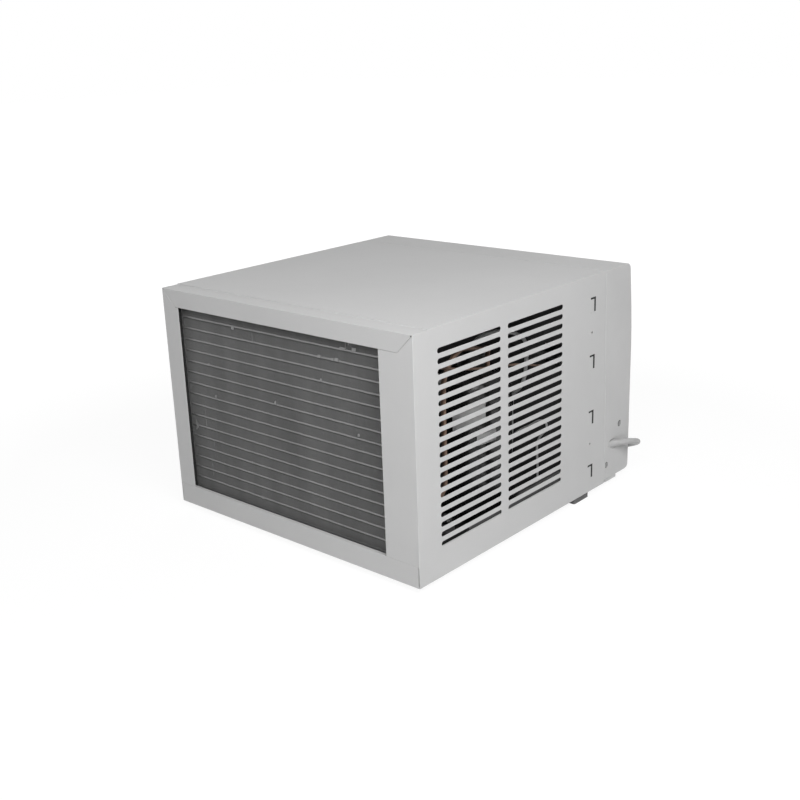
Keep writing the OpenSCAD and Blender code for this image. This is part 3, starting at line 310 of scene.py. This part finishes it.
ENAMEL = finish("painted_sheet", 0.585, 0.615, 0.50, patch=4, grain=420, relief=0.10, depth=0.00012,
                specular=0.35)
BEZEL = finish("moulded_bezel", 0.560, 0.600, 0.52, patch=7, grain=1300, relief=0.22, depth=0.00010)
PANEL = finish("moulded_panel", 0.530, 0.565, 0.45, patch=9, grain=900, relief=0.18, depth=0.00010)
KNOB = finish("knob_plastic", 0.500, 0.530, 0.28, patch=20, grain=600, relief=0.08, depth=0.00008, coat=0.2)
# Dark plastic of the vane links and dial marks, also the painted shade of the rings in the screw dimples.
LINK_AND_SHADE = finish("link_plastic", 0.045, 0.065, 0.50, patch=30, grain=900, relief=0.2, depth=0.00008)
RUBBER = finish("foot_rubber", 0.110, 0.150, 0.75, patch=40, grain=700, relief=0.5, depth=0.00015)
FINS = finish("coated_fins", 0.215, 0.270, 0.50, metal=0.35, patch=9, stretch=(2.0, 1, 0.35), grain=700,
              relief=0.2, depth=0.0001)
ROW = finish("fin_row_edges", 0.17, 0.25, 0.50, metal=0.2, patch=60, grain=500, relief=0.3, depth=0.0002)
BARE = finish("bent_fins", 0.78, 0.92, 0.40, metal=0.0, patch=180, grain=500, relief=0.2, depth=0.0001)
SCUFF = finish("scuffed_fins", 0.26, 0.38, 0.45, metal=0.2, patch=180, grain=500, relief=0.2, depth=0.0001)
SILVER_FINS = finish("plain_fins", 0.42, 0.52, 0.35, metal=0.8, patch=9, stretch=(2.0, 1, 0.35), grain=700,
                     relief=0.2, depth=0.0001)
COPPER = finish("copper_tube", (0.10, 0.068, 0.052), (0.34, 0.225, 0.165), 0.42, metal=0.8, patch=28,
                grain=350, relief=0.10, depth=0.0001, spread=0.12)
ZINC = finish("galvanised_sheet", 0.42, 0.50, 0.42, metal=0.85, patch=8, grain=300, relief=0.06,
              depth=0.0001, pattern="spangle", pattern_scale=110, pattern_share=0.16)
STEEL = finish("bright_steel", 0.52, 0.62, 0.27, metal=1.0, patch=30, grain=260, grain_stretch=(1, 6, 1),
               relief=0.12, depth=0.00006)
FAN = finish("fan_plastic", 0.018, 0.032, 0.50, patch=12, grain=800, relief=0.2, depth=0.0001)
MOTOR = finish("motor_paint", 0.050, 0.075, 0.42, patch=18, grain=380, relief=0.2, depth=0.0002)
SHELL = finish("compressor_paint", 0.008, 0.016, 0.24, patch=14, grain=300, relief=0.22, depth=0.0003,
               coat=0.3)
SCREW = finish("screw_head", 0.30, 0.42, 0.38, metal=1.0, patch=60, grain=300, relief=0.2, depth=0.00006)
# Near-black bulkhead: painted shade for the dark inside seen through the side slots.
SHADED_BULKHEAD = finish("bulkhead_painted_shade", 0.030, 0.045, 0.55, patch=8, grain=500, relief=0.15, depth=0.0002)
# Dark grey strips: painted shade seen through the lowest side slots.
SLOT_SHADE = finish("slot_shade_strip", 0.050, 0.085, 0.90, patch=60, grain=900, relief=0.7, depth=0.0006)
PALE_FELT = finish("pale_felt", 0.50, 0.62, 0.85, patch=70, grain=900, relief=0.5, depth=0.0005)
BLACK = finish("black_plastic", 0.014, 0.026, 0.42, patch=25, grain=900, relief=0.2, depth=0.0001)
FOAM = finish("duct_foam", 0.66, 0.74, 0.80, patch=10, grain=600, relief=0.1, depth=0.0002,
              pattern="beads", pattern_scale=260, pattern_share=0.14, pattern_depth=0.0004)
# Black foam of the suction pipe's sleeve, also the painted shade of the hook slits, the coil's gap and the
# pan floor.
FOAM_AND_SHADE = finish("pipe_foam", 0.012, 0.022, 0.88, patch=40, grain=900, relief=0.7, depth=0.0005)
CAN = finish("capacitor_can", 0.55, 0.66, 0.30, metal=1.0, patch=20, grain=240, grain_stretch=(6, 6, 0.4),
             relief=0.12, depth=0.00006)
FILTER = finish("filter_net", (0.050, 0.075, 0.105), (0.070, 0.095, 0.130), 0.62, patch=12, grain=800,
                relief=0.1, depth=0.0001, pattern="weave", pattern_scale=260, pattern_share=0.55,
                pattern_depth=0.0003)
VENT = finish("vent_steel", 0.46, 0.52, 0.45, patch=9, grain=420, relief=0.1, depth=0.00012)
CORD = finish("cord_pvc", 0.42, 0.48, 0.42, patch=30, grain=700, relief=0.15, depth=0.0001)
WIRE = finish("wire_white", 0.45, 0.60, 0.40, patch=60, grain=900, relief=0.1, depth=0.0001)

# ------------------------------------------------- carried pieces, softened

LOOKS = {
    "rubber_feet": RUBBER, "condenser_tubes": COPPER, "condenser_end_plates": ZINC, "fan_shroud": FAN,
    "motor_shaft": STEEL, "blower_wheel": FAN, "fan_motor": MOTOR, "motor_bracket": ZINC,
    "bulkhead": SHADED_BULKHEAD, "scroll_housing": FOAM, "blower_inlet_plate": FOAM, "discharge_duct": FOAM,
    "evaporator_tubes": COPPER, "evaporator_end_plates": ZINC, "drain_tray": FOAM, "compressor": SHELL,
    "compressor_grommets": RUBBER, "compressor_bolts": STEEL, "terminal_cover": BLACK,
    "suction_accumulator": SHELL, "discharge_pipe": COPPER, "suction_pipe": FOAM_AND_SHADE,
    "capillary_tube": COPPER, "control_box": ZINC, "run_capacitor": CAN, "mode_switch": BLACK,
    "thermostat": STEEL, "bezel_screws": SCREW, "filter_rails": BEZEL, "air_filter": FILTER,
    "level_vane_link": LINK_AND_SHADE, "upright_vane_link": LINK_AND_SHADE, "strain_relief": CORD, "plug": CORD,
    "vent_door": VENT, "condenser_fan": FAN, "vent_rod": KNOB,
}


def level_cuts(*heights):
    """Level planes through holes, for clean_faces."""
    return [("z", (z + FOOT) / 1000) for z in heights]


SIDE_CUTS = level_cuts(*SLOT_ZS, *SIDE_HOLE_ZS, *[z - HOOK_SLIT / 2 for z in HOOK_ZS],
                       *[z - HOOK_HOLE for z in HOOK_ZS])
PAN_CUTS = [("y", (DEPTH / 2 - DRAIN_P) / 1000)]
BEZEL_CUTS = level_cuts(BEZEL_SCREWS[1][1], CORD_HOLE_Z, BEZEL_SCREWS[0][1], FILTER_MIDDLE_Z, KNOB_Z)
KNOB_CUTS = level_cuts(KNOB_Z)
GRILLE_PITCH = (GRILLE_Z[1] - GRILLE_Z[0] - 2 * GRILLE_RIM) / GRILLE_ROWS
GRILLE_CUTS = level_cuts(*[GRILLE_Z[0] + GRILLE_RIM + (i + 0.5) * GRILLE_PITCH for i in range(GRILLE_ROWS)])
CABINET_FOLD = 0.8
# Each entry: the piece's name, its material, its slot, the width of its rounded edges, its cuts
SOFTENED = {
    "cabinet_wrapper": ("cabinet_shell", ENAMEL, "cabinet_enamel", 0.30, SIDE_CUTS),
    "base_pan": ("pan_pressing", ENAMEL, "cabinet_enamel", 0.30, PAN_CUTS),
    "front_bezel": ("bezel_moulding", BEZEL, "bezel_plastic", 0.70, BEZEL_CUTS),
    "intake_grille": ("grille_moulding", BEZEL, "bezel_plastic", 0.30, GRILLE_CUTS),
    "discharge_frame": ("outlet_moulding", BEZEL, "bezel_plastic", 0.40, KNOB_CUTS),
    "control_panel": ("control_plate", PANEL, "bezel_plastic", 0.60, KNOB_CUTS),
    "mode_knob": ("mode_grip", KNOB, "knob_plastic", 0.50, ()),
    "temperature_knob": ("temperature_grip", KNOB, "knob_plastic", 0.50, ()),
}
for i in (1, 2, 3):
    SOFTENED[f"level_vane_{i}"] = (f"level_blade_{i}", BEZEL, "bezel_plastic", 0.35, ())
for i in range(1, 8):
    SOFTENED[f"upright_vane_{i}"] = (f"upright_blade_{i}", BEZEL, "bezel_plastic", 0.35, ())
BODIES = {n: b for b, members in frame["record"]["behaviour"]["bodies"].items() for n in members}


def set_material(piece, *materials):
    piece.data.materials.clear()
    for material in materials:
        piece.data.materials.append(material)


def add_piece(name, mesh, body, slot, *materials):
    piece = bpy.data.objects.new(name, mesh)
    bpy.context.scene.collection.objects.link(piece)
    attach(piece, body)
    set_material(piece, *materials)
    return piece


def on_fold(a, b):
    """True for the long outer folds of the sheet steel."""
    def near(value, target):
        return abs(value - target) < 2e-4

    side = all(near(abs(v.x), HALF_W / 1000) for v in (a, b))
    top = all(near(v.z, (BODY_H + FOOT) / 1000) for v in (a, b))
    top = top or all(near(v.z, (BODY_H + FOOT - SHEET) / 1000) for v in (a, b))
    rear = all(near(v.y, DEPTH / 2000) for v in (a, b))
    return side + top + rear >= 2


def clean_faces(bm, cuts):
    """Joins flat triangles into whole faces, after cuts through the holes so that no face has one."""
    axis_of = {"x": Vector((1, 0, 0)), "y": Vector((0, 1, 0)), "z": Vector((0, 0, 1))}
    for axis, where in cuts:
        bmesh.ops.bisect_plane(bm, geom=bm.verts[:] + bm.edges[:] + bm.faces[:], dist=1e-7,
                               plane_co=axis_of[axis] * where, plane_no=axis_of[axis])
    for face in bm.faces:
        middle = face.calc_center_median()
        face.material_index = sum(middle.dot(axis_of[axis]) > where for axis, where in cuts) % 2
    bmesh.ops.dissolve_limit(bm, angle_limit=math.radians(0.3), verts=bm.verts, edges=bm.edges,
                             delimit={"NORMAL", "MATERIAL"})
    for face in bm.faces:
        face.material_index = 0


def softened(node, name, material, slot, width, cuts=(), fold=0.0):
    """A copy of a CAD node's mesh with its sharp edges rounded, in the node's place."""
    bm = bmesh.new()
    bm.from_mesh(nodes[node].data)
    bmesh.ops.remove_doubles(bm, verts=bm.verts, dist=1e-6)
    clean_faces(bm, cuts)
    weights = bm.edges.layers.float.new("bevel_weight_edge")
    widest = max(width, fold)
    for edge in bm.edges:
        sharp = len(edge.link_faces) == 2 and edge.calc_face_angle(0) > math.radians(28)
        if sharp:
            folded = fold and on_fold(edge.verts[0].co, edge.verts[1].co)
            edge[weights] = 1.0 if folded else width / widest
    mesh = bpy.data.meshes.new(name)
    bm.to_mesh(mesh)
    bm.free()
    mesh.shade_smooth()
    piece = add_piece(name, mesh, BODIES[node], slot, material)
    round_off = piece.modifiers.new("rounded", "BEVEL")
    round_off.limit_method = "WEIGHT"
    round_off.width = widest / 1000
    round_off.segments = 3 if fold else 2
    round_off.use_clamp_overlap = False
    even = piece.modifiers.new("even_normals", "WEIGHTED_NORMAL")
    even.weight = 80
    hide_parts(node)
    return piece


for node, material in LOOKS.items():
    set_material(nodes[node], material)
for node, (name, material, slot, width, cuts) in SOFTENED.items():
    softened(node, name, material, slot, width, cuts, CABINET_FOLD if node == "cabinet_wrapper" else 0.0)
set_material(cord, CORD)

# -------------------------------------------------------------------- coils

COND_X, COND_Z = (-225.0, 248.0), (19.5, 358.45)
COND_ROWS, COND_PITCH, COND_FIRST = 17, 19.35, 34.175
FIN_PITCH, FIN_T = 1.8, 0.34
FIN_P, FIN_WAVE, FIN_BACK = 12.25, 0.25, 49.6
NOTCH_P, NOTCH_BELOW, NOTCH_ABOVE = 13.9, 3.4, 1.3
RIBBON_STEPS = 60


def prism(bm, x, width, outline, index=0):
    """A flat plate across x with an outline of (p, z) points."""
    near = [bm.verts.new(at(x, p, z)) for p, z in outline]
    far = [bm.verts.new(at(x + width, p, z)) for p, z in outline]
    faces = [bm.faces.new(near[::-1]), bm.faces.new(far)]
    for i in range(len(outline)):
        j = (i + 1) % len(outline)
        faces.append(bm.faces.new((near[i], near[j], far[j], far[i])))
    for face in faces:
        face.material_index = index
    return faces


def ribbon(bm, xs, p, z, height, thick, index):
    """A long thin strip across the fins that wanders a little."""
    rings = []
    for x in xs:
        dz, dp = random.uniform(-0.22, 0.22), random.uniform(-0.15, 0.15)
        rings.append([bm.verts.new(at(x, p + dp + a, z + dz + b)) for a, b in
                      ((0, -height / 2), (thick, -height / 2), (thick, height / 2), (0, height / 2))])
    for one, two in zip(rings, rings[1:]):
        for i in range(4):
            j = (i + 1) % 4
            bm.faces.new((one[i], one[j], two[j], two[i])).material_index = index
    bm.faces.new(rings[0]).material_index = index
    bm.faces.new(rings[-1][::-1]).material_index = index


def flake(bm, x, z, width, height):
    """A few fins bent over together, which stand a little proud."""
    prism(bm, x - width / 2, width, [(12.6, z - height * 0.5), (11.2, z - height * 0.4),
                                     (12.1, z + height * 0.6), (12.6, z + height * 0.6)], 2)


def streak(bm, x, z0, z1, lean, index):
    """One fin edge knocked aside along its height."""
    steps = 7
    for i in range(steps):
        a, b = z0 + (z1 - z0) * i / steps, z0 + (z1 - z0) * (i + 1) / steps
        shift = x + lean * i / steps + random.uniform(-0.15, 0.15)
        prism(bm, shift, random.uniform(0.45, 0.75), [(12.6, a), (12.0, a), (12.0, b), (12.6, b)], index)


# Bent fins as (x, z, width, height), then knocked fins as (x, bottom, top, lean)
FLAKES = [
    (-155, 347, 6, 4), (-81, 325, 5, 3.6), (-118, 326, 6, 3.6), (-132, 346, 9, 2.2), (-145, 356, 2, 5),
    (-109, 325, 4, 3), (117, 341, 5, 4), (26, 230, 3, 4.5), (-82, 288, 3, 3), (-157, 214, 3, 3),
    (74, 53, 3, 3), (94, 112, 2.5, 3), (175, 213, 3, 3), (187, 267, 3.5, 3), (224, 54, 3, 2.5),
    (246, 138, 2, 4), (236, 154, 3.2, 6.5), (233, 149, 3.6, 7), (235, 144, 2.6, 4),
]
FLAKE_GROWTH = 1.35
STREAKS = [
    (70, 322, 346, 0), (208, 150, 189, 0), (191, 101, 133, 0), (243, 310, 320, -18), (-150, 350, 358, 2),
]
SCUFFS = [
    (201, 62, 101, 0), (206, 189, 206, 0), (186, 96, 120, 0), (-139, 347, 357, 0), (182, 134, 176, 0),
]


def condenser_face():
    """Single fins notched for the light edges of the tube rows, with bent and scuffed ones among them."""
    bm = bmesh.new()
    rows = [COND_FIRST + i * COND_PITCH for i in range(COND_ROWS)]
    count = int((COND_X[1] - COND_X[0]) / FIN_PITCH)
    for k in range(count):
        x = COND_X[0] + (k + 0.5) * FIN_PITCH
        edge = FIN_P + random.uniform(0, FIN_WAVE)
        outline = [(FIN_BACK, COND_Z[0] + 0.2), (edge, COND_Z[0] + 0.2)]
        for z in rows:
            outline += [(edge, z - NOTCH_BELOW), (NOTCH_P, z - NOTCH_BELOW + 0.5),
                        (NOTCH_P, z + NOTCH_ABOVE - 0.4), (edge, z + NOTCH_ABOVE)]
        outline += [(edge, COND_Z[1] - 0.2), (FIN_BACK, COND_Z[1] - 0.2)]
        prism(bm, x + random.uniform(-0.12, 0.12), FIN_T, outline)
    span = COND_X[1] - COND_X[0] - 1.2
    steps = [COND_X[0] + 0.6 + i * span / RIBBON_STEPS for i in range(RIBBON_STEPS + 1)]
    for z in rows:
        ribbon(bm, steps, 12.4, z + 0.1, 2.7, 1.6, 1)
    for x, z, width, height in FLAKES:
        flake(bm, x, z, width * FLAKE_GROWTH, height * FLAKE_GROWTH)
    for marks, index in ((STREAKS, 2), (SCUFFS, 3)):
        for x, z0, z1, lean in marks:
            streak(bm, x, z0, z1, lean, index)
    bmesh.ops.recalc_face_normals(bm, faces=bm.faces)
    mesh = bpy.data.meshes.new("condenser_core")
    bm.to_mesh(mesh)
    bm.free()
    piece = add_piece("condenser_core", mesh, "chassis", "fin_aluminium", FINS, ROW, BARE, SCUFF)
    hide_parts("condenser_fins")


def evaporator_face():
    """Single fins in the evaporator's own box."""
    bm = bmesh.new()
    low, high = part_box("evaporator_fins")
    count = int((high.x - low.x) * 1000 / FIN_PITCH)
    p0, p1 = DEPTH / 2 - high.y * 1000, DEPTH / 2 - low.y * 1000
    z0, z1 = low.z * 1000 - FOOT, high.z * 1000 - FOOT
    for k in range(count):
        edge = p1 - random.uniform(0.1, 0.4)
        x = low.x * 1000 + (k + 0.5) * FIN_PITCH
        prism(bm, x, FIN_T, [(p0 + 0.3, z0), (edge, z0), (edge, z1), (p0 + 0.3, z1)])
    bmesh.ops.recalc_face_normals(bm, faces=bm.faces)
    mesh = bpy.data.meshes.new("evaporator_core")
    bm.to_mesh(mesh)
    bm.free()
    piece = add_piece("evaporator_core", mesh, "chassis", "fin_aluminium", SILVER_FINS)
    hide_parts("evaporator_fins")


condenser_face()
evaporator_face()

# ----------------------------------------------------- trims and loose parts

SEAM_P, SEAM_LEAN, LAP_P = 507.0, 9.5, 33.0
SEAM_SET = 0.3
SHELL_X, SHELL_P, SHELL_R = -188.0, 255.0, 62.0
BULKHEAD_P = 385.0


def strip_mesh(bm, rings, index=0):
    """A closed strip through rings of points, each ring with the same number of corners."""
    rings = [[bm.verts.new(q) for q in ring] for ring in rings]
    n = len(rings[0])
    for one, two in zip(rings, rings[1:]):
        for i in range(n):
            j = (i + 1) % n
            bm.faces.new((one[i], one[j], two[j], two[i])).material_index = index
    bm.faces.new(rings[0][::-1]).material_index = index
    bm.faces.new(rings[-1]).material_index = index


def finished(name, bm, body, slot, *materials, smooth=False):
    """Makes a piece of the mesh. Where it is smooth, its edges over 40 degrees stay sharp."""
    bmesh.ops.recalc_face_normals(bm, faces=bm.faces)
    if smooth:
        for face in bm.faces:
            face.smooth = True
        for edge in bm.edges:
            edge.smooth = edge.calc_face_angle(math.pi) < math.radians(40)
    mesh = bpy.data.meshes.new(name)
    bm.to_mesh(mesh)
    bm.free()
    return add_piece(name, mesh, body, slot, *materials)


def seam_p(z):
    """Depth of the leaning seam between cabinet and bezel at height z."""
    return SEAM_P + SEAM_LEAN * (1 - z / BODY_H)


def bead(width, height):
    """Half-round section, as (along, out) points, with its foot sunk a little."""
    turns = [math.pi * i / 6 for i in range(7)]
    top = [(width / 2 - width / 2 * math.cos(a), height * math.sin(a)) for a in turns]
    return [(0, -0.25)] + top + [(width, -0.25)]


def hems():
    """Thin rolled edges where the top laps the rear frame and where the bezel meets the cabinet."""
    bm = bmesh.new()
    reach = HALF_W - 1.5
    strip_mesh(bm, [[at(x, LAP_P + along, BODY_H + out) for along, out in bead(1.6, 0.28)]
                    for x in (-reach, reach)])
    finished("lap_hem", bm, "chassis", "cabinet_enamel", ENAMEL, smooth=True)
    bm = bmesh.new()
    section = bead(2.0, 0.25)
    strip_mesh(bm, [[at(x, SEAM_P + SEAM_SET + along, BODY_H + out) for along, out in section]
                    for x in (12 - HALF_W, HALF_W - 12)])
    zs = [20 + i * (BODY_H - 36) / 8 for i in range(9)]
    for side in (-1, 1):
        strip_mesh(bm, [[at(side * (HALF_W + out), seam_p(z) + SEAM_SET + along, z) for along, out in section]
                        for z in zs])
    finished("bezel_hem", bm, "chassis", "bezel_plastic", BEZEL, smooth=True)


def hook_tabs():
    """The tongue beside each hook slit leans out of the side a little."""
    bm = bmesh.new()
    for side in (-1, 1):
        for top in HOOK_ZS:
            section = [(0.4, -5.7), (0.0, -5.7), (-0.2, 4.1), (0.4, 4.1)]
            strip_mesh(bm, [[at(side * (HALF_W - inward), HOOK_P + dp, z) for inward, dp in section]
                            for z in (top - HOOK_H, top - HOOK_SLIT - 0.2)])
    finished("hook_tabs", bm, "chassis", "cabinet_enamel", ENAMEL)


def hook_slit_shade():
    """Black fill just inside each hook slot: painted shade that makes the slits read dark."""
    bm = bmesh.new()
    for x in (-279.85, 279.4):
        for top in HOOK_ZS:
            for p0, p1, drop in ((469.6, 474.8, HOOK_H), (458.9, 469.7, HOOK_SLIT)):
                z0, z1 = top - drop - 0.1, top + 0.1
                prism(bm, x, 0.45, [(p0, z0), (p1, z0), (p1, z1), (p0, z1)])
    finished("hook_slit_shade", bm, "chassis", "black_plastic", FOAM_AND_SHADE)


def cord_bushing():
    """Fills the cord's hole round the lead, apart from a gap above it."""
    def half(centre, start):
        turns = [math.radians(start + 180 * i / 10) for i in range(11)]
        return [(centre + CORD_HOLE_R * math.cos(a), CORD_HOLE_Z + CORD_HOLE_R * math.sin(a)) for a in turns]

    left, right = half(CORD_HOLE_PS[0], 90), half(CORD_HOLE_PS[1], -90)
    gap = [(549, 77.1), (549, 75.6), (541, 74.6), (536.5, 71), (534.5, 66.5)]
    outline = gap + left[6:] + right
    bm = bmesh.new()
    prism(bm, -279.3, 1.6, outline)
    finished("cord_bushing", bm, "chassis", "bezel_plastic", BEZEL)


def dimple_shade_rings():
    """A dark ring under each screw head at the bottom of its dimple: painted shade for the dimple's wall."""
    bm = bmesh.new()
    section = [(3.7, 1.1), (5.7, 1.1), (5.7, 2.1), (3.7, 2.1)]
    turns = [2 * math.pi * i / 24 for i in range(24)]
    for side in (-1, 1):
        for p, z in BEZEL_SCREWS:
            loop = [[bm.verts.new(at(side * (HALF_W - depth), p + r * math.cos(a), z + r * math.sin(a)))
                     for r, depth in section] for a in turns]
            for one, two in zip(loop, loop[1:] + loop[:1]):
                for i in range(4):
                    bm.faces.new((one[i], one[(i + 1) % 4], two[(i + 1) % 4], two[i]))
    finished("dimple_shade_rings", bm, "chassis", "black_plastic", LINK_AND_SHADE)


def coil_gap_shade():
    """A black block behind the stile: painted shade that darkens the gap beside the coil."""
    bm = bmesh.new()
    prism(bm, COND_X[1] + 0.3, 18, [(1.4, 20), (11.6, 20), (11.6, COND_Z[1]), (1.4, COND_Z[1])])
    finished("coil_gap_shade", bm, "chassis", "pipe_foam", FOAM_AND_SHADE)


def pan_floor_shade():
    """A dark sheet on the floor of the pan, under the compressor's side: painted shade for the inside of the
    pan.
    """
    bm = bmesh.new()
    prism(bm, -272, 222, [(56, 1.3), (368, 1.3), (368, 2.6), (56, 2.6)])
    finished("pan_floor_shade", bm, "chassis", "pipe_foam", FOAM_AND_SHADE)


def slot_shade_strips():
    """Dark grey strips inside the base pan's walls: painted shade behind the lowest side slots."""
    outline = [(125, 12), (384, 12), (384, 68), (262, 66), (255, 58), (125, 58)]
    bm = bmesh.new()
    for x in (-276, 271.5):
        prism(bm, x, 4.5, outline)
    finished("slot_shade_strips", bm, "chassis", "pipe_foam", SLOT_SHADE)


def shell_pads():
    """Blank felt pads stuck to the compressor's shell, each with its ends' angles and heights."""
    inner, outer, face = SHELL_R - 0.2, SHELL_R + 2.2, SHELL_R + 2.6
    bm = bmesh.new()
    for (a0, a1), (low0, low1), (high0, high1) in (((-95, -144), (172, 194), (204, 226)),
                                                   ((-131, -160), (154, 162), (171, 181))):
        rings = []
        for i in range(13):
            t = i / 12
            a = math.radians(a0 + (a1 - a0) * t)
            low, high = low0 + (low1 - low0) * t, high0 + (high1 - high0) * t
            section = [(inner, low), (outer, low), (face, low + 1), (face, high - 1), (outer, high),
                       (inner, high)]
            rings.append([at(SHELL_X + r * math.cos(a), SHELL_P + r * math.sin(a), z) for r, z in section])
        strip_mesh(bm, rings)
    finished("shell_pads", bm, "chassis", "pipe_foam", PALE_FELT, smooth=True)


# Along the bulkhead's face, which is at BULKHEAD_P, the wires lie against it
LOOM_P = BULKHEAD_P - 3.6
LOOM = [
    (-176, 262, 290), (-178, 270, 304), (-186, 300, 314), (-197, 340, 308), (-204, 370, 292),
    (-205, 381, 270), (-203, LOOM_P, 253), (-198, LOOM_P, 216), (-190, LOOM_P, 200), (-177, LOOM_P, 186),
    (-172, LOOM_P, 160), (-172, LOOM_P, 132), (-171, LOOM_P, 100), (-168, 380, 60), (-158, 374, 26),
    (-130, 360, 6), (-90, 330, 5), (-52, 290, 6),
]
EARTH = [
    (-175, 378, 108), (-190, 379, 122), (-212, 380, 136), (-232, 381, 148), (-243, 381, 147),
    (-245, 381, 136), (-236, 381, 124), (-227, 381, 108), (-226, 381, 90), (-228, 380, 61),
    (-234, 370, 40), (-246, 345, 33), (-252, 318, 32), (-253.8, 300, 34.5),
]


def wiring():
    """The wires to the compressor and to earth, where the slots show them."""
    for name, route, diameter in (("compressor_loom", LOOM, 6.5), ("earth_lead", EARTH, 4.0)):
        tube = tube_curve(name, [at(*q) for q in route], diameter, 3)
        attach(tube, "chassis")
        set_material(tube, WIRE)


def dial_marks():
    """Plain ticks on the control panel round each knob."""
    tick = [(18.4, -0.45), (20.6, -0.45), (20.6, 0.45), (18.4, 0.45)]
    bm = bmesh.new()
    for x in KNOB_XS:
        for turn in range(-135, 136, 45):
            a = math.radians(turn)
            out, side = Vector((math.sin(a), math.cos(a))), Vector((math.cos(a), -math.sin(a)))
            corners = [out * r + side * w for r, w in tick]
            strip_mesh(bm, [[at(x + q.x, p, KNOB_Z + q.y) for q in corners]
                            for p in (PANEL_P - 0.1, PANEL_P + 0.15)])
    finished("dial_marks", bm, "chassis", "black_plastic", LINK_AND_SHADE)


hems()
hook_tabs()
hook_slit_shade()
cord_bushing()
dimple_shade_rings()
coil_gap_shade()
pan_floor_shade()
slot_shade_strips()
shell_pads()
wiring()
dial_marks()

# ------------------------------------------------------- light and surround


def seen_directly(tree):
    """1 for rays from the camera, from gloss and through glass, which see a white background."""
    path = tree.nodes.new("ShaderNodeLightPath")
    either, any_of = tree.nodes.new("ShaderNodeMath"), tree.nodes.new("ShaderNodeMath")
    either.operation = any_of.operation = "MAXIMUM"
    link(tree, path, "Is Camera Ray", either, 0)
    link(tree, path, "Is Glossy Ray", either, 1)
    link(tree, either, "Value", any_of, 0)
    link(tree, path, "Is Transmission Ray", any_of, 1)
    return any_of


SKY_LOW, SKY_HIGH = 0.25, 0.16
KEY_WATTS, REAR_WATTS, FRONT_WATTS = 24, 14, 42
AIM = Vector((0, 0, 0.2))


def make_world():
    """A soft sky that lights the object, and plain white where it is seen."""
    world = bpy.data.worlds.new("studio")
    bpy.context.scene.world = world
    tree = plain_nodes(world)
    out = tree.nodes.new("ShaderNodeOutputWorld")
    mix = tree.nodes.new("ShaderNodeMixShader")
    lit = tree.nodes.new("ShaderNodeBackground")
    seen = tree.nodes.new("ShaderNodeBackground")
    lit.inputs["Color"].default_value = (1, 1, 1, 1)
    seen.inputs["Color"].default_value = (1, 1, 1, 1)
    seen.inputs["Strength"].default_value = 1.0
    place, split = tree.nodes.new("ShaderNodeTexCoord"), tree.nodes.new("ShaderNodeSeparateXYZ")
    link(tree, place, "Generated", split, "Vector")
    link(tree, ranged(tree, split, "Z", SKY_LOW, SKY_HIGH, 0, 1), "Result", lit, "Strength")
    link(tree, seen_directly(tree), "Value", mix, 0)
    link(tree, lit, 0, mix, 1)
    link(tree, seen, 0, mix, 2)
    link(tree, mix, 0, out, "Surface")


def make_light(name, place, size, watts, shine=True):
    """A lamp aimed at the object's middle. Without shine it gives no highlight."""
    data = bpy.data.lights.new(name, "AREA")
    data.shape = "RECTANGLE"
    data.size, data.size_y = size
    data.energy = watts
    light = bpy.data.objects.new(name, data)
    bpy.context.scene.collection.objects.link(light)
    light.visible_glossy = shine
    light.location = place
    light.rotation_mode = "QUATERNION"
    light.rotation_quaternion = (AIM - Vector(place)).to_track_quat("-Z", "Y")


def make_floor():
    """A pale floor that goes over into white with the distance, and keeps the object's shadow."""
    mesh = bpy.data.meshes.new("floor")
    r = 14.0
    mesh.from_pydata([(-r, -r, 0), (r, -r, 0), (r, r, 0), (-r, r, 0)], [], [(0, 1, 2, 3)])
    floor = bpy.data.objects.new("floor", mesh)
    bpy.context.scene.collection.objects.link(floor)
    material = bpy.data.materials.new("floor")
    tree = plain_nodes(material)
    out = tree.nodes.new("ShaderNodeOutputMaterial")
    mix = tree.nodes.new("ShaderNodeMixShader")
    matte = tree.nodes.new("ShaderNodeBsdfDiffuse")
    matte.inputs["Color"].default_value = (0.75, 0.75, 0.75, 1)
    white = tree.nodes.new("ShaderNodeEmission")
    white.inputs["Strength"].default_value = 1.08
    place = tree.nodes.new("ShaderNodeTexCoord")
    far = tree.nodes.new("ShaderNodeVectorMath")
    far.operation = "LENGTH"
    link(tree, place, "Object", far, 0)
    whiter = ranged(tree, far, "Value", 0.85, 1.0, 0.8, 1.8)
    share = tree.nodes.new("ShaderNodeMath")
    share.operation = "MULTIPLY"
    link(tree, seen_directly(tree), "Value", share, 0)
    link(tree, whiter, "Result", share, 1)
    link(tree, share, 0, mix, 0)
    link(tree, matte, 0, mix, 1)
    link(tree, white, 0, mix, 2)
    link(tree, mix, 0, out, "Surface")
    mesh.materials.append(material)


make_world()
make_floor()
make_light("key", (-1.7, 0.7, 1.75), (1.0, 1.0), KEY_WATTS)
make_light("rear", (-0.9, 1.3, 1.3), (0.8, 0.8), REAR_WATTS)
make_light("front", (1.7, -2.4, 0.5), (1.8, 0.7), FRONT_WATTS, shine=False)
